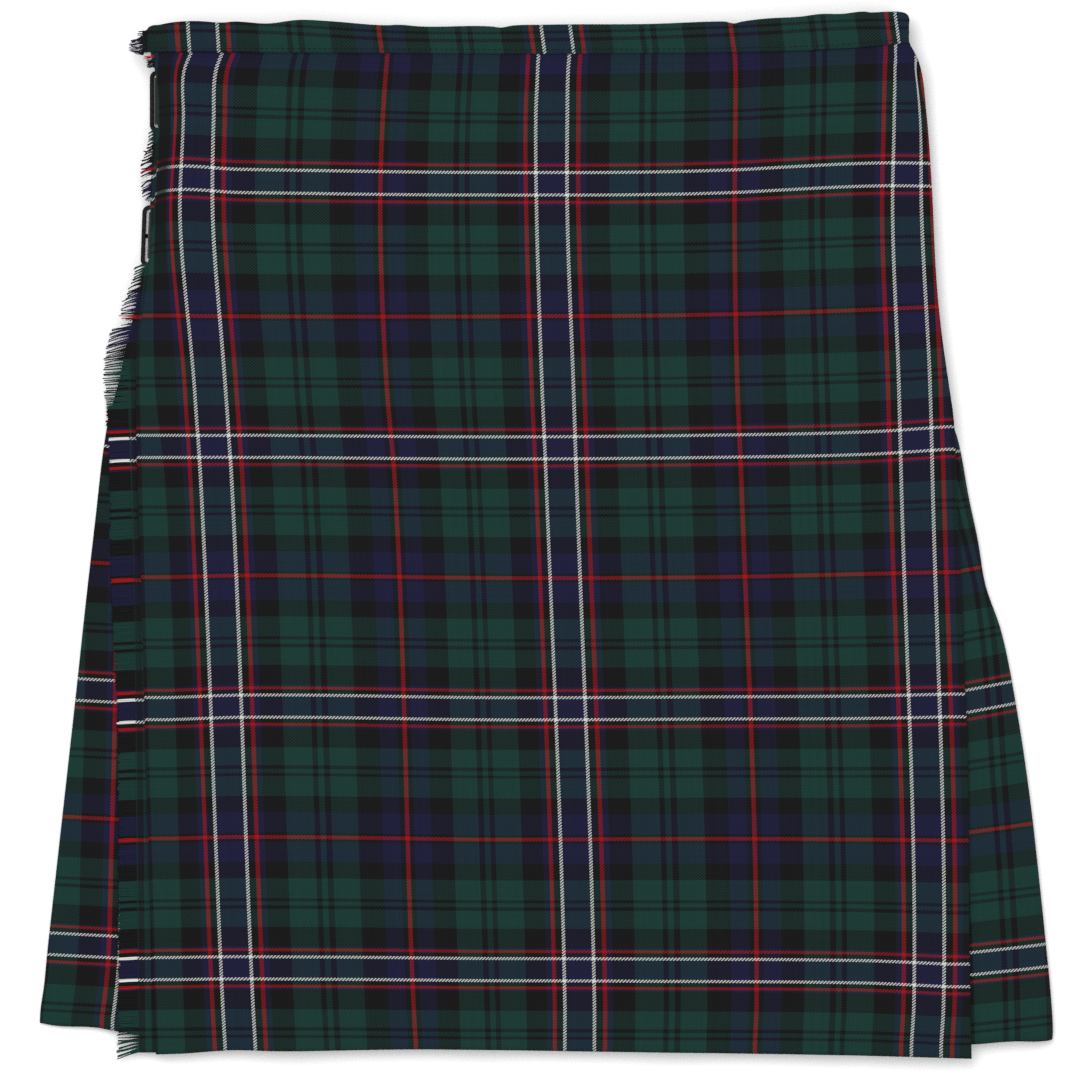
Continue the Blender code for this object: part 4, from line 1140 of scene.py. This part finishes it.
for strap in straps:
    label, middle = strap["name"], strap["height"]
    strapLeather = makeStrapLeather(strap)
    heel = strap["front"] + buckle["long"]
    cutSlot(strapLeather, (heel - buckle["slotPlace"], middle, 2.2), buckle["slotLong"], buckle["slotWide"])
    finishPiece(strapLeather, "black_leather", "strap_" + label)
    finishPiece(makeFrame(label + "Buckle", strap), "buckle_steel", "buckle_" + label)
    for node, slot, bevel, material in (("chape_", "black_leather", 0.3, blackLeather),
                                        ("prong_", "buckle_steel", 0.35, blackEnamel)):
        piece = softened(node + label, label + node.strip("_").capitalize(), bevel, material)
        finishPiece(piece, slot, node + label)

    # two rows of stitches, one along each edge of the strap's outer face
    rows = []
    for side in (-1, 1):
        y = middle + side * (strapSize["width"] / 2 - strapSize["stitchInset"])
        line = strapLine(strap, y)
        direction = np.gradient(line, axis=0)
        direction /= np.linalg.norm(direction, axis=1, keepdims=True)
        out = strapSize["thick"] / 2 + strapStitch["proud"]
        face = line + np.stack([-direction[:, 1], direction[:, 0]], -1) * out
        rows.append([(p[0], y, p[1]) for p in face[3:22]])
    finishPiece(stitches(label + "StrapStitches", rows, strapStitch), "black_leather")
print("straps made")

# sewing along the foot of the waistband
bandX = np.linspace(-232.5, 212.0, 160)
bandY = smooth(bandFoot, bandX) + bandStitch["fromFoot"]
bandZ = overMid(bandX, bandY) + ply + bandStitch["proud"]
bandStitches = stitches("waistbandStitches", [list(zip(bandX, bandY, bandZ))], bandStitch)
finishPiece(bandStitches, "tartan_wool")

# floor, light and camera
def makePaleFloor():
    # matt pale studio board
    material, tree, shader = newMaterial("mattStudioBoard")
    tint = mixed(tree, patches(tree, 3.0), linear("#f3f3f3"), linear("#f8f8f8"))
    wire(tree, shader, {"Base_Color": tint, "Roughness": 1.0, "Specular_IOR_Level": 0.0})
    return material


bpy.ops.mesh.primitive_plane_add(size=12, location=(0, 0, 0))
floor = bpy.context.object
floor.name = "studioFloor"
floor.data.materials.append(makePaleFloor())

scene = bpy.context.scene
scene.view_settings.view_transform = "Standard"
scene.cycles.use_denoising = False   # a denoiser wipes out the fine weave
world = bpy.data.worlds.new("softWhite")
scene.world = world
world.use_nodes = True
world.node_tree.nodes["Background"].inputs[0].default_value = (1, 1, 1, 1)
world.node_tree.nodes["Background"].inputs[1].default_value = 0.73

for name, place, size, power in (("overheadSoftbox", (-0.5, 0.7, 2.4), 1.8, 40),
                                 ("fillSoftbox", (1.2, -0.9, 2.0), 1.6, 11)):
    lamp = bpy.data.lights.new(name, "AREA")
    lamp.size, lamp.energy = size, power
    holder = bpy.data.objects.new(name, lamp)
    holder.location = place
    direction = np.array(place)
    holder.rotation_euler = (math.atan2(math.hypot(direction[0], direction[1]), direction[2]), 0,
                             math.atan2(direction[0], -direction[1]))
    bpy.context.collection.objects.link(holder)

view = {"lens": 300.0, "sensor": 36.0, "width": 0.63612, "focusHeight": 0.009, "x": -0.003534, "y": -0.0026505}
cameraData = bpy.data.cameras.new("camera")
cameraData.lens, cameraData.sensor_width, cameraData.clip_end = view["lens"], view["sensor"], 50
camera = bpy.data.objects.new("camera", cameraData)
camera.location = (view["x"], view["y"], view["focusHeight"] + view["lens"] / view["sensor"] * view["width"])
bpy.context.collection.objects.link(camera)
scene.camera = camera

print("scene made")
